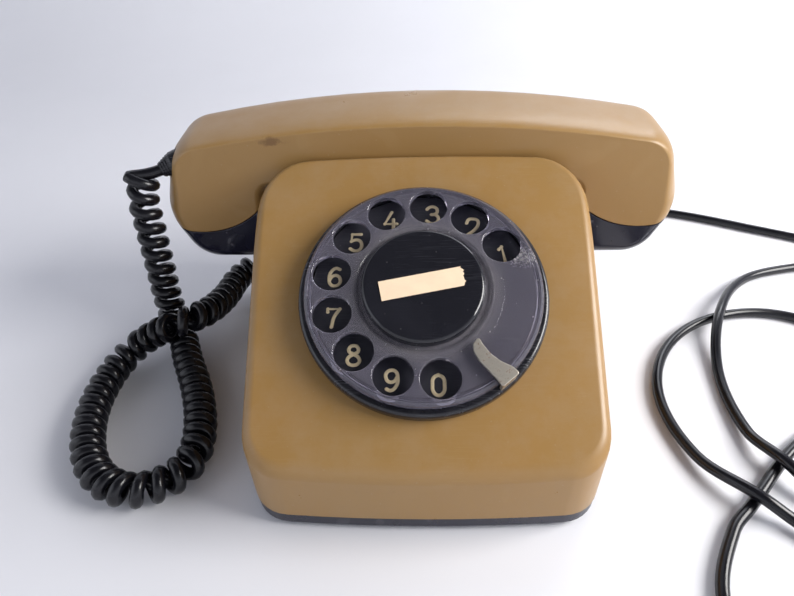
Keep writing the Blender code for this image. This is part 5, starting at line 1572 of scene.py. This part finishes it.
class TELEPHONE_OT_handset(Operator):
    """Add the handset's shell and its two black caps"""

    bl_idname = "telephone.handset"
    bl_label = "Handset"

    def execute(self, context):
        half = context.scene.telephone_body.grip
        shell = solid("handset_moulding", hand_solid(half))
        for side in (-1, 1):
            middle = side * BULB_X + HAND_MID
            below = solid("below", block((middle - 0.033, HAND_Y - 0.04, BULB_Z - 0.07),
                                         (middle + 0.033, HAND_Y + 0.04, BULB_Z - 10 * MM)))
            joined(below, bulb(BULB_RADIUS, side))
            cutter = bmesh.new()
            cutter.from_mesh(below.data)
            bpy.data.objects.remove(below, do_unlink=True)
            joined(shell, cutter)
            joined(shell, moved(rod(12 * MM, 40 * MM, 80 * MM, 64), Matrix.Translation(
                (side * CAPSULE_X + HAND_MID, HAND_Y, 0))))
        root, tip = gland_line()
        seat = spun([(0, -GAP), (5 * MM + GAP, -GAP), (5 * MM + GAP, 0.5 * (tip - root).length),
                     (4.6 * MM, (tip - root).length), (0, (tip - root).length)], 48)
        joined(shell, moved(seat, pointed(tip - root, root)))
        soften(shell, 0.35 * MM, 3, lambda spot: spot.z < 78 * MM and abs(spot.x) > 62 * MM)
        stains_and_shade = [
            ((-58 * MM, 30 * MM, 91 * MM), (8.5 * MM, 6 * MM, 2.6 * MM),
             rgba((0.12, 0.055, 0.02)), 0.62, 330.0),
            ((-61 * MM, 32 * MM, 95 * MM), (1.6 * MM, 3 * MM, 1.4 * MM),
             rgba((0.10, 0.04, 0.02)), 0.8, 900.0),
            ((25 * MM, 44 * MM, 105 * MM), (1 * MM, 3 * MM, 1.2 * MM),
             rgba((0.10, 0.05, 0.03)), 0.8, 900.0),
        ]
        finished(shell, khaki_moulding("handset_khaki", stains_and_shade), "handset",
                 ["handset_shell"], 40)
        for name, node_name, side in (("ear_end_cap", "ear_cap", 1),
                                      ("mouth_end_cap", "mouth_cap", -1)):
            cap = solid(name, hand_solid(half))
            joined(cap, bulb(BULB_RADIUS + GAP, side))
            joined(cap, block((-0.2, -0.1, 66 * MM), (0.2, 0.2, 0.2)))
            low, high = sorted((-side * 0.2, side * 63 * MM + HAND_MID))
            joined(cap, block((low, -0.1, 0), (high, 0.2, 0.2)))
            spot = Matrix.Translation((side * CAPSULE_X + HAND_MID, HAND_Y, 0))
            joined(cap, moved(rod(14 * MM + GAP, 38.5 * MM, 60 * MM, 64), spot))
            for ring, count in ((0, 1), (5, 6), (9.5, 12)):
                for i in range(count):
                    turn = math.tau * i / count
                    drop = moved(rod(0.9 * MM, 20 * MM, 39.5 * MM, 16), spot @ Matrix.Translation(
                        (ring * MM * math.cos(turn), ring * MM * math.sin(turn), 0)))
                    joined(cap, drop)
            soften(cap, 0.3 * MM, 2, lambda spot: spot.z > 40 * MM)
            finished(cap, black_moulding(name + "_black", 0.45, 0.7, (0.10, 0.2), 0.8, 1.5),
                     "handset", [node_name], 40)
        return {"FINISHED"}


class TELEPHONE_OT_works(Operator):
    """Cover the inner pieces with smooth copies in finished materials"""

    bl_idname = "telephone.works"
    bl_label = "Inner Works"

    def execute(self, context):
        record = {name: slot for slot, names in self.groups().items() for name in names}
        for name, slot in record.items():
            source = bpy.data.objects[name]
            shape = bmesh.new()
            shape.from_mesh(source.data)
            bmesh.ops.transform(shape, matrix=source.matrix_world, verts=shape.verts)
            bmesh.ops.remove_doubles(shape, verts=shape.verts, dist=5e-6)
            bmesh.ops.dissolve_limit(shape, angle_limit=math.radians(1), verts=shape.verts,
                                     edges=shape.edges)
            sharp = [edge for edge in shape.edges if edge.is_manifold and edge.is_convex
                     and edge.calc_face_angle() > math.radians(70)
                     and edge.calc_length() > 1.5 * MM]
            bevelled(shape, sharp, 0.15 * MM, 2)
            made = solid(name + "_part", shape)
            finished(made, slot_materials()[slot], carried_by(name), [name], 35)
        return {"FINISHED"}

    def groups(self):
        """Slots of the inner pieces, by node."""
        return {
            "plated_steel": ["main_shaft", "governor_cup", "hook_pin", "hook_bracket",
                             "ringer_frame", "gong_left", "gong_right", "receiver_capsule",
                             "transmitter_capsule"],
            "worn_steel": ["dial_frame", "return_spring", "hook_lever", "clapper",
                           "induction_coil"],
            "brass": ["main_gear", "governor_pinion", "pulse_contact_inner",
                      "pulse_contact_outer", "gong_screw_left", "gong_screw_right"],
            "black_plastic": ["terminal_block"],
            "circuit_board": ["circuit_board"],
            "enamelled_copper": ["ringer_coil"],
            "white_nylon": ["pulse_cam", "contact_holder", "hook_switch", "capacitor"],
        }


def carried_by(name):
    """Body a node moves with."""
    bodies = {"main_shaft": "dial", "main_gear": "dial", "pulse_cam": "dial",
              "governor_pinion": "governor", "hook_lever": "hook_arm",
              "clapper": "bell_hammer", "receiver_capsule": "handset",
              "transmitter_capsule": "handset"}
    return bodies.get(name, "base")


class TELEPHONE_OT_plungers(Operator):
    """Add the two cradle plungers with rounded tips"""

    bl_idname = "telephone.plungers"
    bl_label = "Cradle Plungers"

    def execute(self, context):
        for side in ("left", "right"):
            low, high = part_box("plunger_" + side)
            radius = (high.x - low.x) / 2
            profile = [(0, low.z), (radius - 0.3 * MM, low.z), (radius, low.z + 0.3 * MM)]
            for i in range(7):
                turn = math.pi / 2 * i / 6
                profile.append((radius - 1.5 * MM + 1.5 * MM * math.cos(turn),
                                high.z - 1.5 * MM + 1.5 * MM * math.sin(turn)))
            profile.append((0, high.z))
            middle = Matrix.Translation(((low.x + high.x) / 2, (low.y + high.y) / 2, 0))
            made = solid("cradle_pin_" + side, moved(spun(profile, 64), middle))
            finished(made, slot_materials()["black_plastic"], side + "_plunger",
                     ["plunger_" + side])
        return {"FINISHED"}


# ------------------------------------------------------------------ panel

PIECES = ("base", "housing", "dial_fixed", "finger_wheel", "centre_cap", "plungers", "handset",
          "glands", "works", "curly_cord", "line_cord")


class TELEPHONE_PT_panel(Panel):
    """Buttons for the telephone's pieces, with their settings"""

    bl_idname = "TELEPHONE_PT_panel"
    bl_label = "Telephone"
    bl_space_type = "VIEW_3D"
    bl_region_type = "UI"
    bl_category = "Telephone"

    def draw(self, context):
        layout = self.layout
        for name in PIECES:
            layout.operator("telephone." + name)
        layout.operator("telephone.stage")
        for group in GROUPS:
            box = layout.box()
            for setting in GROUPS[group].__annotations__:
                box.prop(getattr(context.scene, group), setting)


GROUPS = {"telephone_finish": TelephoneFinish, "telephone_body": TelephoneBody,
          "telephone_dial": TelephoneDial, "telephone_cords": TelephoneCords,
          "telephone_stage": TelephoneStage}

OPERATORS = (TELEPHONE_OT_stage, TELEPHONE_OT_base, TELEPHONE_OT_housing,
             TELEPHONE_OT_dial_fixed, TELEPHONE_OT_finger_wheel, TELEPHONE_OT_centre_cap,
             TELEPHONE_OT_plungers, TELEPHONE_OT_handset, TELEPHONE_OT_glands,
             TELEPHONE_OT_works, TELEPHONE_OT_curly_cord, TELEPHONE_OT_line_cord)


def register():
    for group in GROUPS.values():
        bpy.utils.register_class(group)
    for name, group in GROUPS.items():
        setattr(bpy.types.Scene, name, PointerProperty(type=group))
    for operator in OPERATORS:
        bpy.utils.register_class(operator)
    bpy.utils.register_class(TELEPHONE_PT_panel)


def unregister():
    bpy.utils.unregister_class(TELEPHONE_PT_panel)
    for operator in reversed(OPERATORS):
        bpy.utils.unregister_class(operator)
    for name in GROUPS:
        delattr(bpy.types.Scene, name)
    for group in reversed(GROUPS.values()):
        bpy.utils.unregister_class(group)


def main():
    register()
    for name in PIECES:
        getattr(bpy.ops.telephone, name)()
    bpy.ops.telephone.stage()


if __name__ == "__main__":
    main()
